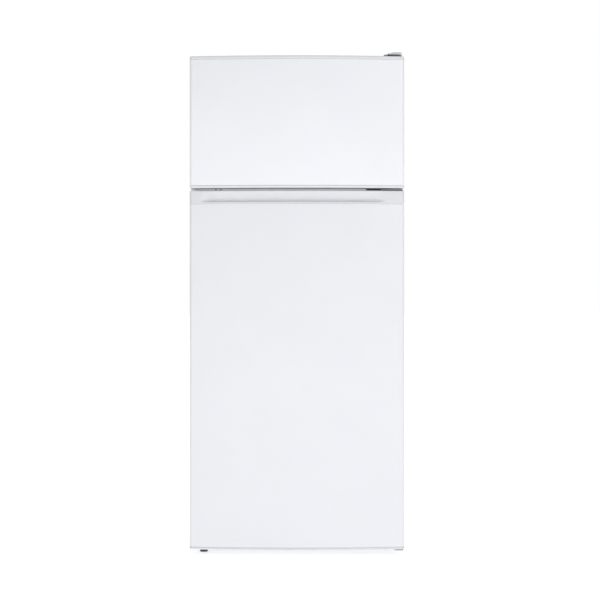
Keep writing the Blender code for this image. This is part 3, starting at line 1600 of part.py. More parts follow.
def condenser_route():
    """A serpentine of level runs, joined at alternate sides by half-round turns."""
    pitch = (CONDENSER_HIGH - CONDENSER_LOW) / (CONDENSER_RUNS - 1)
    reach = CONDENSER_HALF - pitch / 2
    route = []
    for run in range(CONDENSER_RUNS):
        z = CONDENSER_HIGH - run * pitch
        side = 1 if run % 2 == 0 else -1
        route.append((-side * reach, CONDENSER_Y, z))
        route.append((side * reach, CONDENSER_Y, z))
        if run == CONDENSER_RUNS - 1:
            break
        for step in range(1, 5):
            angle = math.pi * step / 5
            x = side * (reach + pitch / 2 * math.sin(angle))
            route.append((x, CONDENSER_Y, z - pitch / 2 * (1 - math.cos(angle))))
    return route


def condenser_bracket(name, height):
    """A strip that holds the coil off the back, with a wall spacer at each end."""
    near, far = (CONDENSER_HALF + reach for reach in SPACER_FROM_COIL)
    front = CABINET_BACK + TOUCH
    strip = box(
        name,
        (-far, front, height - BRACKET_HALF),
        (far, CONDENSER_Y - CONDENSER_TUBE - TOUCH, height + BRACKET_HALF),
        "black_plastic",
    )
    for side in (-1, 1):
        spacer = box(
            "wall_spacer",
            (min(side * near, side * far), front, height - SPACER_HALF),
            (max(side * near, side * far), REAR, height + SPACER_HALF),
        )
        join(strip, spacer)
    return strip


def condenser():
    tube("condenser_coil", condenser_route(), CONDENSER_TUBE, "black_paint", sides_level=1)
    condenser_bracket("condenser_bracket_upper", CONDENSER_HIGH - BRACKET_FROM_END)
    condenser_bracket("condenser_bracket_lower", CONDENSER_LOW + BRACKET_FROM_END)


def discharge_pipe():
    """From the pot's side to the back, up beside the coil and into its top run."""
    pot_side = COMPRESSOR_X - COMPRESSOR_RADIUS - PIPE_END_GAP
    riser_x = -CONDENSER_HALF - BRACKET_FROM_END
    level = COMPRESSOR_LOW + 0.050
    coil_x, _, coil_z = condenser_route()[0]
    route = [
        (pot_side, COMPRESSOR_Y, level),
        (pot_side - 0.050, COMPRESSOR_Y, level),
        (pot_side - 0.050, CONDENSER_Y, level),
        (riser_x, CONDENSER_Y, level),
        (riser_x, CONDENSER_Y, coil_z),
        (coil_x - PIPE_END_GAP, CONDENSER_Y, coil_z),
    ]
    return tube("discharge_pipe", bend(route, 0.010), CONDENSER_TUBE, "copper", sides_level=1)


def drier():
    """The filter drier that hangs under the coil's tail, and the pipe that feeds it."""
    x = CONDENSER_HALF - DRIER_SIDE_GAP
    top = CONDENSER_LOW - DRIER_BELOW_COIL
    centre = (x, CONDENSER_Y, top - DRIER_LENGTH / 2)
    cylinder("filter_drier", centre, DRIER_RADIUS, DRIER_LENGTH, "copper", sides=16)
    coil_x, _, coil_z = condenser_route()[-1]
    aside = x + 0.030
    route = [
        (coil_x + PIPE_END_GAP, CONDENSER_Y, coil_z),
        (aside, CONDENSER_Y, coil_z),
        (aside, CONDENSER_Y, coil_z - 0.030),
        (x, CONDENSER_Y, coil_z - 0.030),
        (x, CONDENSER_Y, top + PIPE_END_GAP),
    ]
    return tube("drier_feed_pipe", bend(route, 0.008), CONDENSER_TUBE, "black_paint", sides_level=1)


def suction_pipe():
    """Down out of the bay's roof and along to the pot."""
    x = COMPRESSOR_X + 0.190
    level = COMPRESSOR_LOW + 0.030
    route = [
        (x, COMPRESSOR_Y + 0.050, BAY_TOP - STEEL_SHEET - PIPE_END_GAP),
        (x, COMPRESSOR_Y + 0.050, level),
        (COMPRESSOR_X + 0.020, COMPRESSOR_Y + 0.082, level),
    ]
    return tube("suction_pipe", bend(route, 0.015), PIPE_RADIUS, "copper", sides_level=1)


def cord_gland():
    """The moulded inlet in the bay where the supply cord would enter."""
    width, depth, height = GLAND_SIZE
    left = -HALF + GLAND_SIDE_GAP
    back = CABINET_BACK - GLAND_AHEAD_OF_BACK
    low = DECK_TOP + TOUCH
    return box(
        "cord_gland",
        (left, back - depth, low),
        (left + width, back, low + height),
        "black_plastic",
        radius=0.003,
    )


def cabinet():
    outer_wrap()
    back_panel()
    step_panel()
    compressor_deck()
    cabinet_foam()
    freezer_liner()
    fridge_liner()
    mullion_rail()
    freezer_evaporator()
    fridge_evaporator_plate("fridge_evaporator", 0.0, "aluminium")
    drain_tube()
    shelves()
    crisper_drawer()
    control_housing()
    thermostat_knob()
    lamp_lens()


def hinges():
    top_hinge()
    top_hinge_cover()
    middle_hinge()
    hinge_screws()
    lower_hinge()


def machinery():
    compressor()
    relay_cover()
    drip_tray()
    condenser()
    discharge_pipe()
    drier()
    suction_pipe()
    cord_gland()


cabinet()
freezer_door()
fridge_door()
hinges()
base_rail()
feet()
rollers()
machinery()
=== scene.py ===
"""Looks of the top freezer refrigerator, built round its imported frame.

Metres, +Z up, doors facing -Y.
"""

import json
import math

import bmesh
import bpy
from mathutils import Matrix, Vector


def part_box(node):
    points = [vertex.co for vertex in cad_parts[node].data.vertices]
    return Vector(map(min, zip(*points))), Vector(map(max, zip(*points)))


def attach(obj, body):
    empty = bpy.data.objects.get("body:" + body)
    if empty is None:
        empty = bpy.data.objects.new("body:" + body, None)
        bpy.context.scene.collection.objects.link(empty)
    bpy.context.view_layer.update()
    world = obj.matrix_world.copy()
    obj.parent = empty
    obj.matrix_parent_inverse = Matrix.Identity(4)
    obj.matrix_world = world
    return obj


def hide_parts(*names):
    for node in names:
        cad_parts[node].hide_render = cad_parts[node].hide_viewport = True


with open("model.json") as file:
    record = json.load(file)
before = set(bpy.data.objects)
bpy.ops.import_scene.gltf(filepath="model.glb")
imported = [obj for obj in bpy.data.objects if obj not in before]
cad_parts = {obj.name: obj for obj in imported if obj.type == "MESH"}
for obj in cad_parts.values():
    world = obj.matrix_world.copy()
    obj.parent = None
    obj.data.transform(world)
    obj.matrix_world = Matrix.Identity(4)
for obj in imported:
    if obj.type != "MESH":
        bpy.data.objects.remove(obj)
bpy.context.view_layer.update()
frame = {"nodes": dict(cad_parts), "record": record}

# Sizes that the visible pieces share with the frame
SKIN_LOW, SKIN_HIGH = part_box("fridge_door_skin")
FREEZER_LOW, FREEZER_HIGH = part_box("freezer_door_skin")
FREEZER_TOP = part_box("freezer_door_top_cap")[1].z
GRIP_LOW, GRIP_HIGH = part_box("fridge_door_grip_cap")
WRAP_LOW, WRAP_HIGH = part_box("outer_wrap")
HALF = SKIN_HIGH.x
FRONT = SKIN_LOW.y
DOOR_REAR = SKIN_HIGH.y
DOOR_BOW = 0.018
DOOR_CORNER = 0.009
STEEL = 0.0007
FLANGE_REACH = 0.010
FOLD = 0.0009
CAP_ROUNDING = 0.0030
CAP_GROOVE = 0.0006
SEAL_WIDTH = 0.014
TRIM_SETBACK = 0.014
TRIM_LEFT = -0.2475
TRIM_HALF = 0.0023
TRIM_EDGE = 0.0006
PIN_RADIUS = 0.004
PIN_CHAMFER = 0.0008
ARM_HALF = 0.00125
TUBE_RADIUS = 0.0025
WIRE_RADIUS = 0.0008
COIL_RUNS = 17
COIL_HALF = 0.225
WIRE_COUNT = 19
WIRE_START = -0.198
WIRE_PITCH = 0.022
WIRE_OVERHANG = 0.010
POT_RADIUS = 0.066
POT_BEAD = 0.003
BUSH_ACROSS = 0.078
BUSH_BACK = 0.033


# Mesh building


def finish_mesh(name, shape, look, body, replaces=(), slot=None, smooth=40):
    """Turn a bmesh into a shown piece that rides on a body."""
    bmesh.ops.recalc_face_normals(shape, faces=shape.faces)
    mesh = bpy.data.meshes.new(name)
    shape.to_mesh(mesh)
    shape.free()
    mesh.materials.append(look)
    mesh.shade_smooth()
    mesh.set_sharp_from_angle(angle=math.radians(smooth))
    obj = bpy.data.objects.new(name, mesh)
    bpy.context.scene.collection.objects.link(obj)
    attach(obj, body)
    if replaces:
        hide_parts(*replaces)
    return obj


def soften(obj, width, segments=3, angle=30):
    """Round the piece's edges and keep its flats flat."""
    bevel = obj.modifiers.new("soft_edges", "BEVEL")
    bevel.width = width
    bevel.segments = segments
    bevel.limit_method = "ANGLE"
    bevel.angle_limit = math.radians(angle)
    bevel.harden_normals = True
    return obj


def skin_rings(shape, rings, closed=False):
    """Join a row of rings with faces: capped at both ends, or closed into a loop."""
    rows = [[shape.verts.new(point) for point in ring] for ring in rings]
    pairs = list(zip(rows, rows[1:]))
    if closed:
        pairs.append((rows[-1], rows[0]))
    else:
        shape.faces.new(rows[0])
        shape.faces.new(rows[-1])
    for first, second in pairs:
        for index in range(len(first)):
            after = (index + 1) % len(first)
            shape.faces.new((first[index], first[after], second[after], second[index]))


def loft(name, rings, look, body, closed=False, smooth=40, **options):
    """A piece skinned over a row of rings."""
    shape = bmesh.new()
    skin_rings(shape, rings, closed)
    return finish_mesh(name, shape, look, body, smooth=smooth, **options)


def rounded_ring(axis, level, low, high, radius, steps=8):
    """A ring on a rounded rectangle, in the plane across the named axis."""
    corners = [
        (high[0] - radius, high[1] - radius, 0.0),
        (low[0] + radius, high[1] - radius, 0.5),
        (low[0] + radius, low[1] + radius, 1.0),
        (high[0] - radius, low[1] + radius, 1.5),
    ]
    points = []
    for across, along, start in corners:
        for step in range(steps + 1):
            angle = math.pi * (start + 0.5 * step / steps)
            u = across + radius * math.cos(angle)
            v = along + radius * math.sin(angle)
            points.append({"X": (level, u, v), "Y": (u, level, v), "Z": (u, v, level)}[axis])
    return points


def block(name, low, high, radius, look, body, segments=3, **options):
    """A box with rounded edges."""
    shape = bmesh.new()
    add_block(shape, low, high, radius, segments)
    return finish_mesh(name, shape, look, body, **options)


def add_block(shape, low, high, radius, segments):
    """Add a box with bevelled edges to a shape."""
    low = Vector(low)
    high = Vector(high)
    made = bmesh.ops.create_cube(shape, size=1.0)["verts"]
    bmesh.ops.scale(shape, vec=high - low, verts=made)
    bmesh.ops.translate(shape, vec=(low + high) / 2, verts=made)
    edges = list({edge for vert in made for edge in vert.link_edges})
    bmesh.ops.bevel(shape, geom=edges, offset=radius, segments=segments, profile=0.5, affect="EDGES")


def add_lathe(shape, profile, centre, axis="Z", steps=32):
    """Add a solid turned about an axis, from a profile of (radius, distance along the axis)."""
    turn = {"X": Matrix.Rotation(math.pi / 2, 4, "Y"), "Y": Matrix.Rotation(-math.pi / 2, 4, "X")}
    place = Matrix.Translation(centre) @ turn.get(axis, Matrix.Identity(4))
    rings = []
    for radius, along in profile:
        ring = []
        for step in range(steps):
            angle = 2 * math.pi * step / steps
            ring.append(place @ Vector((radius * math.cos(angle), radius * math.sin(angle), along)))
        rings.append(ring)
    skin_rings(shape, rings)


def lathe(name, profile, centre, look, body, axis="Z", steps=32, **options):
    """A turned piece."""
    shape = bmesh.new()
    add_lathe(shape, profile, centre, axis, steps)
    return finish_mesh(name, shape, look, body, **options)


def wires(name, routes, radius, look, body, resolution=2, **options):
    """Round wires or tubes along rows of points, as one mesh piece."""
    curve = bpy.data.curves.new(name, "CURVE")
    curve.dimensions = "3D"
    curve.bevel_depth = radius
    curve.bevel_resolution = resolution
    curve.use_fill_caps = True
    for route in routes:
        spline = curve.splines.new("POLY")
        spline.points.add(len(route) - 1)
        for point, place in zip(spline.points, route):
            point.co = (*place, 1.0)
    guide = bpy.data.objects.new(name + "_guide", curve)
    bpy.context.scene.collection.objects.link(guide)
    graph = bpy.context.evaluated_depsgraph_get()
    mesh = bpy.data.meshes.new_from_object(guide.evaluated_get(graph))
    shape = bmesh.new()
    shape.from_mesh(mesh)
    bmesh.ops.remove_doubles(shape, verts=shape.verts, dist=0.00001)
    bpy.data.objects.remove(guide, do_unlink=True)
    bpy.data.curves.remove(curve)
    bpy.data.meshes.remove(mesh)
    return finish_mesh(name, shape, look, body, smooth=60, **options)


def carve(obj, low, high, radius=0.0002):
    """Cut a block out of a piece for good."""
    shape = bmesh.new()
    add_block(shape, low, high, radius, 1)
    mesh = bpy.data.meshes.new("cutter")
    shape.to_mesh(mesh)
    shape.free()
    cutter = bpy.data.objects.new("cutter", mesh)
    bpy.context.scene.collection.objects.link(cutter)
    boolean = obj.modifiers.new("carve", "BOOLEAN")
    boolean.object = cutter
    graph = bpy.context.evaluated_depsgraph_get()
    obj.data = bpy.data.meshes.new_from_object(obj.evaluated_get(graph))
    obj.modifiers.clear()
    bpy.data.objects.remove(cutter, do_unlink=True)
    bpy.data.meshes.remove(mesh)
    return obj


def prism_along_x(name, outline, left, right, look, body, **options):
    """An outline of (y, z) points run from left to right."""
    rings = [[(x, y, z) for y, z in outline] for x in (left, right)]
    return loft(name, rings, look, body, **options)


# Materials


class Look:
    """A Principled material whose colour, roughness and relief come from noise in object space."""

    def __init__(self, name, colour, roughness, metallic=0.0, **sockets):
        self.material = bpy.data.materials.new(name)
        self.material.use_nodes = True
        self.nodes = self.material.node_tree.nodes
        self.links = self.material.node_tree.links
        self.shader = self.nodes["Principled BSDF"]
        self.shader.inputs["Base Color"].default_value = (*colour, 1.0)
        self.shader.inputs["Roughness"].default_value = roughness
        self.shader.inputs["Metallic"].default_value = metallic
        for socket, value in sockets.items():
            self.shader.inputs[socket.replace("_", " ")].default_value = value
        self.colour = colour
        self.place = self.nodes.new("ShaderNodeTexCoord").outputs["Object"]
        self.last_normal = None

    def stretched(self, scale):
        mapping = self.nodes.new("ShaderNodeMapping")
        mapping.inputs["Scale"].default_value = scale
        self.links.new(self.place, mapping.inputs["Vector"])
        return mapping.outputs["Vector"]

    def noise(self, scale, detail, stretch=None):
        texture = self.nodes.new("ShaderNodeTexNoise")
        texture.inputs["Scale"].default_value = scale
        texture.inputs["Detail"].default_value = detail
        source = self.stretched(stretch) if stretch else self.place
        self.links.new(source, texture.inputs["Vector"])
        return texture.outputs["Fac"]

    def cells(self, scale):
        texture = self.nodes.new("ShaderNodeTexVoronoi")
        texture.inputs["Scale"].default_value = scale
        self.links.new(self.place, texture.inputs["Vector"])
        return texture.outputs["Color"]

    def vary_colour(self, factor, darker, low=0.35, high=0.65):
        """Blend from the colour to a darker or tinted one by a factor."""
        ramp = self.nodes.new("ShaderNodeValToRGB")
        ramp.color_ramp.elements[0].position = low
        ramp.color_ramp.elements[0].color = (*darker, 1.0)
        ramp.color_ramp.elements[1].position = high
        ramp.color_ramp.elements[1].color = (*self.colour, 1.0)
        self.links.new(factor, ramp.inputs["Fac"])
        self.links.new(ramp.outputs["Color"], self.shader.inputs["Base Color"])
        return self

    def vary_roughness(self, factor, low, high):
        spread = self.nodes.new("ShaderNodeMapRange")
        spread.inputs["To Min"].default_value = low
        spread.inputs["To Max"].default_value = high
        self.links.new(factor, spread.inputs["Value"])
        self.links.new(spread.outputs["Result"], self.shader.inputs["Roughness"])
        return self

    def relief(self, factor, distance, strength=1.0):
        bump = self.nodes.new("ShaderNodeBump")
        bump.inputs["Distance"].default_value = distance
        bump.inputs["Strength"].default_value = strength
        self.links.new(factor, bump.inputs["Height"])
        if self.last_normal:
            self.links.new(self.last_normal, bump.inputs["Normal"])
        self.last_normal = bump.outputs["Normal"]
        self.links.new(self.last_normal, self.shader.inputs["Normal"])
        return self


def shade(colour, by):
    """The colour with each channel multiplied by a factor."""
    return tuple(channel * by for channel in colour)


def enamel(name, colour, roughness=0.32):
    look = Look(name, colour, roughness, Coat_Weight=0.25, Coat_Roughness=0.12)
    look.vary_colour(look.noise(9.0, 4.0), shade(colour, 0.985))
    look.vary_roughness(look.noise(24.0, 5.0), roughness - 0.05, roughness + 0.06)
    look.relief(look.noise(620.0, 2.0), 0.00006, 0.35)
    return look.material


def moulded(name, colour, roughness=0.42, grain=1500.0, depth=0.00005, **sockets):
    look = Look(name, colour, roughness, **sockets)
    look.vary_colour(look.noise(30.0, 4.0), shade(colour, 0.97))
    look.vary_roughness(look.noise(60.0, 4.0), roughness - 0.05, roughness + 0.08)
    look.relief(look.noise(grain, 2.0), depth, 0.5)
    return look.material


def clear(name, tint, roughness=0.08):
    look = Look(name, tint, roughness, Transmission_Weight=0.92, IOR=1.49)
    look.vary_roughness(look.noise(40.0, 3.0), roughness * 0.6, roughness * 1.6)
    look.relief(look.noise(90.0, 2.0), 0.0002, 0.25)
    return look.material


def glass():
    look = Look("shelf_glass", (0.80, 0.93, 0.88), 0.02, Transmission_Weight=0.96, IOR=1.52)
    look.vary_roughness(look.noise(25.0, 4.0), 0.01, 0.05)
    return look.material


def zinc(name="zinc_steel", colour=(0.60, 0.61, 0.63), roughness=0.33):
    look = Look(name, colour, roughness, 1.0)
    look.vary_colour(look.cells(260.0), shade(colour, 0.86), 0.1, 0.9)
    look.vary_roughness(look.noise(160.0, 4.0), roughness - 0.06, roughness + 0.14)
    look.relief(look.noise(900.0, 3.0), 0.00004, 0.4)
    return look.material


def rolled_aluminium():
    look = Look("aluminium", (0.80, 0.81, 0.82), 0.34, 1.0)
    look.vary_roughness(look.noise(40.0, 5.0, stretch=(1.0, 1.0, 40.0)), 0.26, 0.46)
    look.relief(look.noise(60.0, 4.0, stretch=(1.0, 1.0, 60.0)), 0.00004, 0.4)
    return look.material


def copper():
    look = Look("copper", (0.78, 0.36, 0.22), 0.28, 1.0)
    look.vary_colour(look.noise(45.0, 6.0), (0.42, 0.17, 0.10), 0.30, 0.55)
    look.vary_roughness(look.noise(70.0, 5.0), 0.22, 0.48)
    return look.material


def black_enamel(name="black_enamel", colour=(0.016, 0.016, 0.018)):
    look = Look(name, colour, 0.38, Coat_Weight=0.2, Coat_Roughness=0.2)
    look.vary_colour(look.noise(40.0, 5.0), shade(colour, 1.8), 0.45, 0.75)
    look.vary_roughness(look.noise(80.0, 5.0), 0.30, 0.52)
    look.relief(look.noise(700.0, 2.0), 0.00006, 0.4)
    return look.material


def seal_rubber():
    look = Look("seal_rubber", (0.60, 0.61, 0.62), 0.62, Sheen_Weight=0.15, Sheen_Roughness=0.5)
    look.vary_colour(look.noise(25.0, 5.0), (0.53, 0.54, 0.55))
    look.relief(look.noise(1300.0, 3.0), 0.00008, 0.5)
    return look.material


def foam_look():
    look = Look("insulation", (0.83, 0.72, 0.45), 0.92)
    look.vary_colour(look.noise(120.0, 6.0), (0.70, 0.57, 0.32))
    look.relief(look.cells(700.0), 0.0004, 0.6)
    return look.material


DOOR_WHITE = (0.745, 0.755, 0.790)
CAP_GREY = (0.605, 0.615, 0.64)
PAINT = enamel("door_enamel", DOOR_WHITE)
SIDE_PAINT = enamel("cabinet_enamel", (0.80, 0.81, 0.84), 0.36)
CAP_PLASTIC = moulded("cap_plastic", CAP_GREY, 0.42)
# Painted light: the bottom caps get a lighter copy of the same cap plastic, standing in for how they
# catch the light
CAP_PLASTIC_PAINTED_LIGHTER = moulded("cap_plastic_painted_lighter", (0.68, 0.69, 0.72), 0.42)
# Painted light: the grip moulding gets its own lighter copy of the cap plastic, offsetting the shade
# in its scoop
GRIP_PLASTIC_PAINTED_LIGHTER = moulded("grip_plastic_painted_lighter", (0.645, 0.655, 0.685), 0.40)
COVER_PLASTIC = moulded("cover_plastic", (0.56, 0.57, 0.59), 0.45)
TRIM_PLASTIC = moulded("trim_plastic", (0.58, 0.59, 0.61), 0.45)
FOOT_PLASTIC = moulded("foot_plastic", (0.10, 0.10, 0.105), 0.55)
KNOB_PLASTIC = moulded("knob_plastic", (0.80, 0.81, 0.82), 0.35)
LINER_PLASTIC = moulded(
    "liner_plastic", (0.83, 0.84, 0.85), 0.28, grain=700.0, depth=0.00004, Coat_Weight=0.3
)
CLEAR_PLASTIC = clear("clear_plastic", (0.90, 0.95, 0.98))
BLACK_PLASTIC = moulded("black_plastic", (0.022, 0.022, 0.024), 0.55, grain=1100.0, depth=0.0001)
SHELF_GLASS = glass()
ZINC = zinc()
ALUMINIUM = rolled_aluminium()
COPPER = copper()
BLACK = black_enamel()
RUBBER = seal_rubber()
FOAM = foam_look()
BRIGHT_ZINC = zinc("bright_hinge_steel", (0.50, 0.51, 0.52), 0.30)
PLATE_STEEL = zinc("hinge_plate_steel", (0.42, 0.42, 0.43), 0.42)
# Painted shade: near-black steel for the middle hinge's flange and screws, standing in for the shade
# in the gap between the doors
HINGE_STEEL_PAINTED_SHADE = black_enamel("hinge_steel_painted_shade", (0.11, 0.11, 0.115))

SLOT_LOOKS = {
    "white_paint": SIDE_PAINT,
    "white_plastic": CAP_PLASTIC,
    "liner_plastic": LINER_PLASTIC,
    "clear_plastic": CLEAR_PLASTIC,
    "gasket_rubber": RUBBER,
    "foam": FOAM,
    "zinc_steel": ZINC,
    "black_paint": BLACK,
    "black_plastic": BLACK_PLASTIC,
    "copper": COPPER,
    "aluminium": ALUMINIUM,
    "shelf_glass": SHELF_GLASS,
}


def dress_frame():
    """Give every CAD node that stays visible its finished material."""
    for part in frame["record"]["subparts"]:
        obj = frame["nodes"][part["node"]]
        obj.data.materials.clear()
        obj.data.materials.append(SLOT_LOOKS[part["material_slot"]])
        obj.data.shade_smooth()
        obj.data.set_sharp_from_angle(angle=math.radians(30))


# Doors


def bow(x, inset=0.0):
    """The door face's y at x on the bow itself, without its corners."""
    radius = (HALF**2 + DOOR_BOW**2) / (2 * DOOR_BOW)
    return FRONT + radius - math.sqrt((radius - inset) ** 2 - x**2)


def door_face(x, inset=0.0):
    """The bowed face's y at x, with its rounded vertical corners."""
    corner = DOOR_CORNER - inset
    start = HALF - DOOR_CORNER
    beyond = max(abs(x) - start, 0.0)
    sideways = min(abs(x), start)
    return bow(sideways, inset) + corner - math.sqrt(max(corner**2 - beyond**2, 0.0))


def face_stations(inset=0.0, across=110, around=10):
    """The face's x positions from left to right, closer together round the corners."""
    flat = HALF - DOOR_CORNER
    corner = DOOR_CORNER - inset
    arc = [flat + corner * math.sin(0.5 * math.pi * step / around) for step in range(around, 0, -1)]
    middle = [flat * (2 * step / across - 1) for step in range(across + 1)]
    return [-x for x in arc] + middle + arc[::-1]


def face_path(inset=0.0):
    return [(x, door_face(x, inset)) for x in face_stations(inset)]


def door_skin(name, node, body, low, high):
    """The bowed enamelled sheet, folded in along its top and bottom edges."""
    flange = HALF - FLANGE_REACH
    rings = []
    outer = [
        (-flange, DOOR_REAR),
        (-HALF, DOOR_REAR),
        *face_path(),
        (HALF, DOOR_REAR),
        (flange, DOOR_REAR),
    ]
    inner_rear = DOOR_REAR - STEEL
    inner = [
        (-flange, inner_rear),
        (-HALF + STEEL, inner_rear),
        *face_path(STEEL),
        (HALF - STEEL, inner_rear),
        (flange, inner_rear),
    ]
    for (ox, oy), (ix, iy) in zip(outer, inner):
        near = Vector((ox, oy)).lerp(Vector((ix, iy)), 0.35)
        rings.append(
            [
                (ix, iy, low),
                (near.x, near.y, low),
                (ox, oy, low + FOLD),
                (ox, oy, high - FOLD),
                (near.x, near.y, high),
                (ix, iy, high),
            ]
        )
    return loft(name, rings, PAINT, body, replaces=(node,), slot="white_paint")


def outline_ring(level, inset):
    """The door's plan outline at a level, drawn in by an inset."""
    ring = [(x, y, level) for x, y in face_path(inset)]
    half = HALF - inset
    return ring + [(half, DOOR_REAR - 0.4 * inset, level), (-half, DOOR_REAR - 0.4 * inset, level)]


def door_cap(name, node, body, look, edge_up=False):
    """An end moulding of a door: its outer edge rounded, its inner edge square against the skin."""
    low, high = (corner.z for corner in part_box(node))
    steps = 6
    levels = []
    for step in range(steps + 1):
        angle = 0.5 * math.pi * step / steps
        inset = CAP_ROUNDING * (1 - math.cos(angle))
        rise = CAP_ROUNDING * (1 - math.sin(angle))
        levels.append((rise, inset))
    if edge_up:
        rings = [outline_ring(low, CAP_GROOVE), outline_ring(low + CAP_GROOVE, 0.0)]
        rings += [outline_ring(high - rise, inset) for rise, inset in levels]
    else:
        rings = [outline_ring(low + rise, inset) for rise, inset in reversed(levels)]
        rings += [outline_ring(high - CAP_GROOVE, 0.0), outline_ring(high, CAP_GROOVE)]
    return loft(name, rings, look, body, replaces=(node,), slot="white_plastic", smooth=50)


# The grip moulding across the fridge door's top

GRIP_DEPTH = 0.009
GRIP_GROOVE = 0.0245
GRIP_RAMP = 0.0055
GRIP_LEFT = 0.024
GRIP_RIGHT = 0.047
GRIP_FADE = 0.030
GRIP_EDGE = 0.0022


def grip_share(x):
    """How much of the scoop's full depth there is at x, from 0 to 1."""
    left = (x + HALF - GRIP_LEFT) / GRIP_FADE
    right = (HALF - GRIP_RIGHT - x) / GRIP_FADE
    share = max(0.0, min(1.0, left, right))
    return share * share * (3 - 2 * share)


def grip_cap():
    """The top moulding with its scoop: a rounded top edge, a slope back to a groove, a lip below."""
    top = GRIP_HIGH.z
    low = GRIP_LOW.z
    rings = []
    for x in grip_stations():
        face = door_face(x)
        depth = GRIP_DEPTH * grip_share(x)
        profile = [(DOOR_REAR, top)]
        for step in range(7):
            angle = 0.5 * math.pi * step / 6
            back = GRIP_EDGE * (1 - math.sin(angle))
            down = GRIP_EDGE * (1 - math.cos(angle))
            profile.append((face + back, top - down))
        for step in range(1, 15):
            share = step / 14
            slope = share**1.15 * (1 - 0.08 * math.sin(math.pi * share))
            level = top - GRIP_EDGE - (GRIP_GROOVE - GRIP_EDGE) * share
            profile.append((face + depth * slope, level))
        for step in range(1, 9):
            share = step / 8
            rise = share * share * (3 - 2 * share)
            profile.append((face + depth * (1 - rise), top - GRIP_GROOVE - GRIP_RAMP * share))
        profile += [(face, low + 0.0006), (face + 0.0006, low), (DOOR_REAR, low)]
        rings.append([(x, y, z) for y, z in profile])
    # Painted light: the grip uses the lighter copy of the cap plastic, offsetting its scoop's shade
    return loft(
        "grip_moulding",
        rings,
        GRIP_PLASTIC_PAINTED_LIGHTER,
        "fridge_door",
        replaces=("fridge_door_grip_cap",),
        slot="white_plastic",
        smooth=50,
    )


def grip_stations():
    """The face's stations, with more of them where the scoop's ends fade."""
    stations = set(round(x, 6) for x in face_stations())
    for start in (GRIP_LEFT - HALF, HALF - GRIP_RIGHT - GRIP_FADE):
        stations.update(round(start + GRIP_FADE * step / 16, 6) for step in range(17))
    return sorted(stations)


def gasket(name, node, body):
    """The seal's soft bellows: a flat foot on the door, a narrow waist and a fuller magnet lip."""
    low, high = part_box(node)
    depth = high.y - low.y
    section = [
        (0.00, 0.00), (0.00, 0.14), (0.10, 0.20), (0.26, 0.30), (0.26, 0.42), (0.12, 0.52),
        (0.02, 0.60), (0.00, 0.72), (0.02, 0.90), (0.10, 1.00),
        (0.90, 1.00), (0.98, 0.90), (1.00, 0.72), (0.98, 0.60), (0.88, 0.52), (0.74, 0.42),
        (0.74, 0.30), (0.90, 0.20), (1.00, 0.14), (1.00, 0.00),
    ]
    rings = []
    for inward, along in section:
        inset = SEAL_WIDTH * inward
        corner = 0.006 + 0.3 * (SEAL_WIDTH - inset)
        near = (low.x + inset, low.z + inset)
        far = (high.x - inset, high.z - inset)
        rings.append(rounded_ring("Y", low.y + depth * along, near, far, corner))
    return loft(
        name, rings, RUBBER, body, closed=True, replaces=(node,), slot="gasket_rubber", smooth=70
    )


def doors():
    door_skin(
        "freezer_door_face", "freezer_door_skin", "freezer_door", FREEZER_LOW.z, FREEZER_HIGH.z
    )
    door_skin("fridge_door_face", "fridge_door_skin", "fridge_door", SKIN_LOW.z, SKIN_HIGH.z)
    door_cap("freezer_top_moulding", "freezer_door_top_cap", "freezer_door", CAP_PLASTIC, True)
    # Painted light: both bottom mouldings use the lighter copy of the cap plastic
    door_cap("freezer_bottom_moulding", "freezer_door_bottom_cap", "freezer_door", CAP_PLASTIC_PAINTED_LIGHTER)
    door_cap("fridge_bottom_moulding", "fridge_door_bottom_cap", "fridge_door", CAP_PLASTIC_PAINTED_LIGHTER)
    grip_cap()
    gasket("freezer_seal", "freezer_door_gasket", "freezer_door")
    gasket("fridge_seal", "fridge_door_gasket", "fridge_door")


# Hinges

PIN = Vector((HALF - 0.0135, DOOR_REAR - 0.018, 0.0))
MULLION_Z = sum(corner.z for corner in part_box("mullion_rail")) / 2
CABINET_TOP = WRAP_HIGH.z
CABINET_FRONT = WRAP_LOW.y


def pin(name, low, high, replaces=()):
    """A hinge pin with chamfered ends."""
    tip = PIN_RADIUS - PIN_CHAMFER
    profile = [
        (tip, low),
        (PIN_RADIUS, low + PIN_CHAMFER),
        (PIN_RADIUS, high - PIN_CHAMFER),
        (tip, high),
    ]
    return lathe(name, profile, PIN, BRIGHT_ZINC, "cabinet", slot="zinc_steel", replaces=replaces)


def hinge_cover():
    """A wedge-shaped cap over the top hinge, its front edge notched over the hinge plate."""
    low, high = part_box("top_hinge_cover")
    skirt = 0.0015
    rise = high.z - low.z - skirt
    steps = [
        (0.0, 0.0), (0.25, 0.0), (0.5, 0.0), (0.75, 0.0),
        (0.9, 0.0), (0.955, 0.0003), (0.988, 0.0008), (1.0, 0.0016),
    ]
    chamfer = 0.0005
    corner = 0.004
    rings = [
        rounded_ring(
            "Z",
            low.z,
            (low.x + chamfer, low.y + chamfer),
            (high.x - chamfer, high.y - chamfer),
            0.9 * corner,
        ),
        rounded_ring("Z", low.z + chamfer, (low.x, low.y), (high.x, high.y), corner),
    ]
    for share, turned_in in steps:
        level = low.z + skirt + rise * share
        near = (low.x + 0.022 * share + turned_in, low.y + 0.003 * share + turned_in)
        far = (high.x - 0.001 * share - turned_in, high.y - 0.014 * share - turned_in)
        rings.append(rounded_ring("Z", level, near, far, corner))
    cover = loft(
        "top_hinge_cap",
        rings,
        COVER_PLASTIC,
        "cabinet",
        replaces=("top_hinge_cover",),
        slot="white_plastic",
    )
    under = low.z - 0.01
    hollow = (low.x + 0.0078, low.y + 0.004, under), (high.x - 0.003, high.y - 0.016, low.z + 0.0032)
    notch = (low.x + 0.0095, low.y - 0.01, under), (high.x - 0.0055, low.y + 0.006, low.z + 0.0026)
    carve(cover, *hollow)
    carve(cover, *notch)


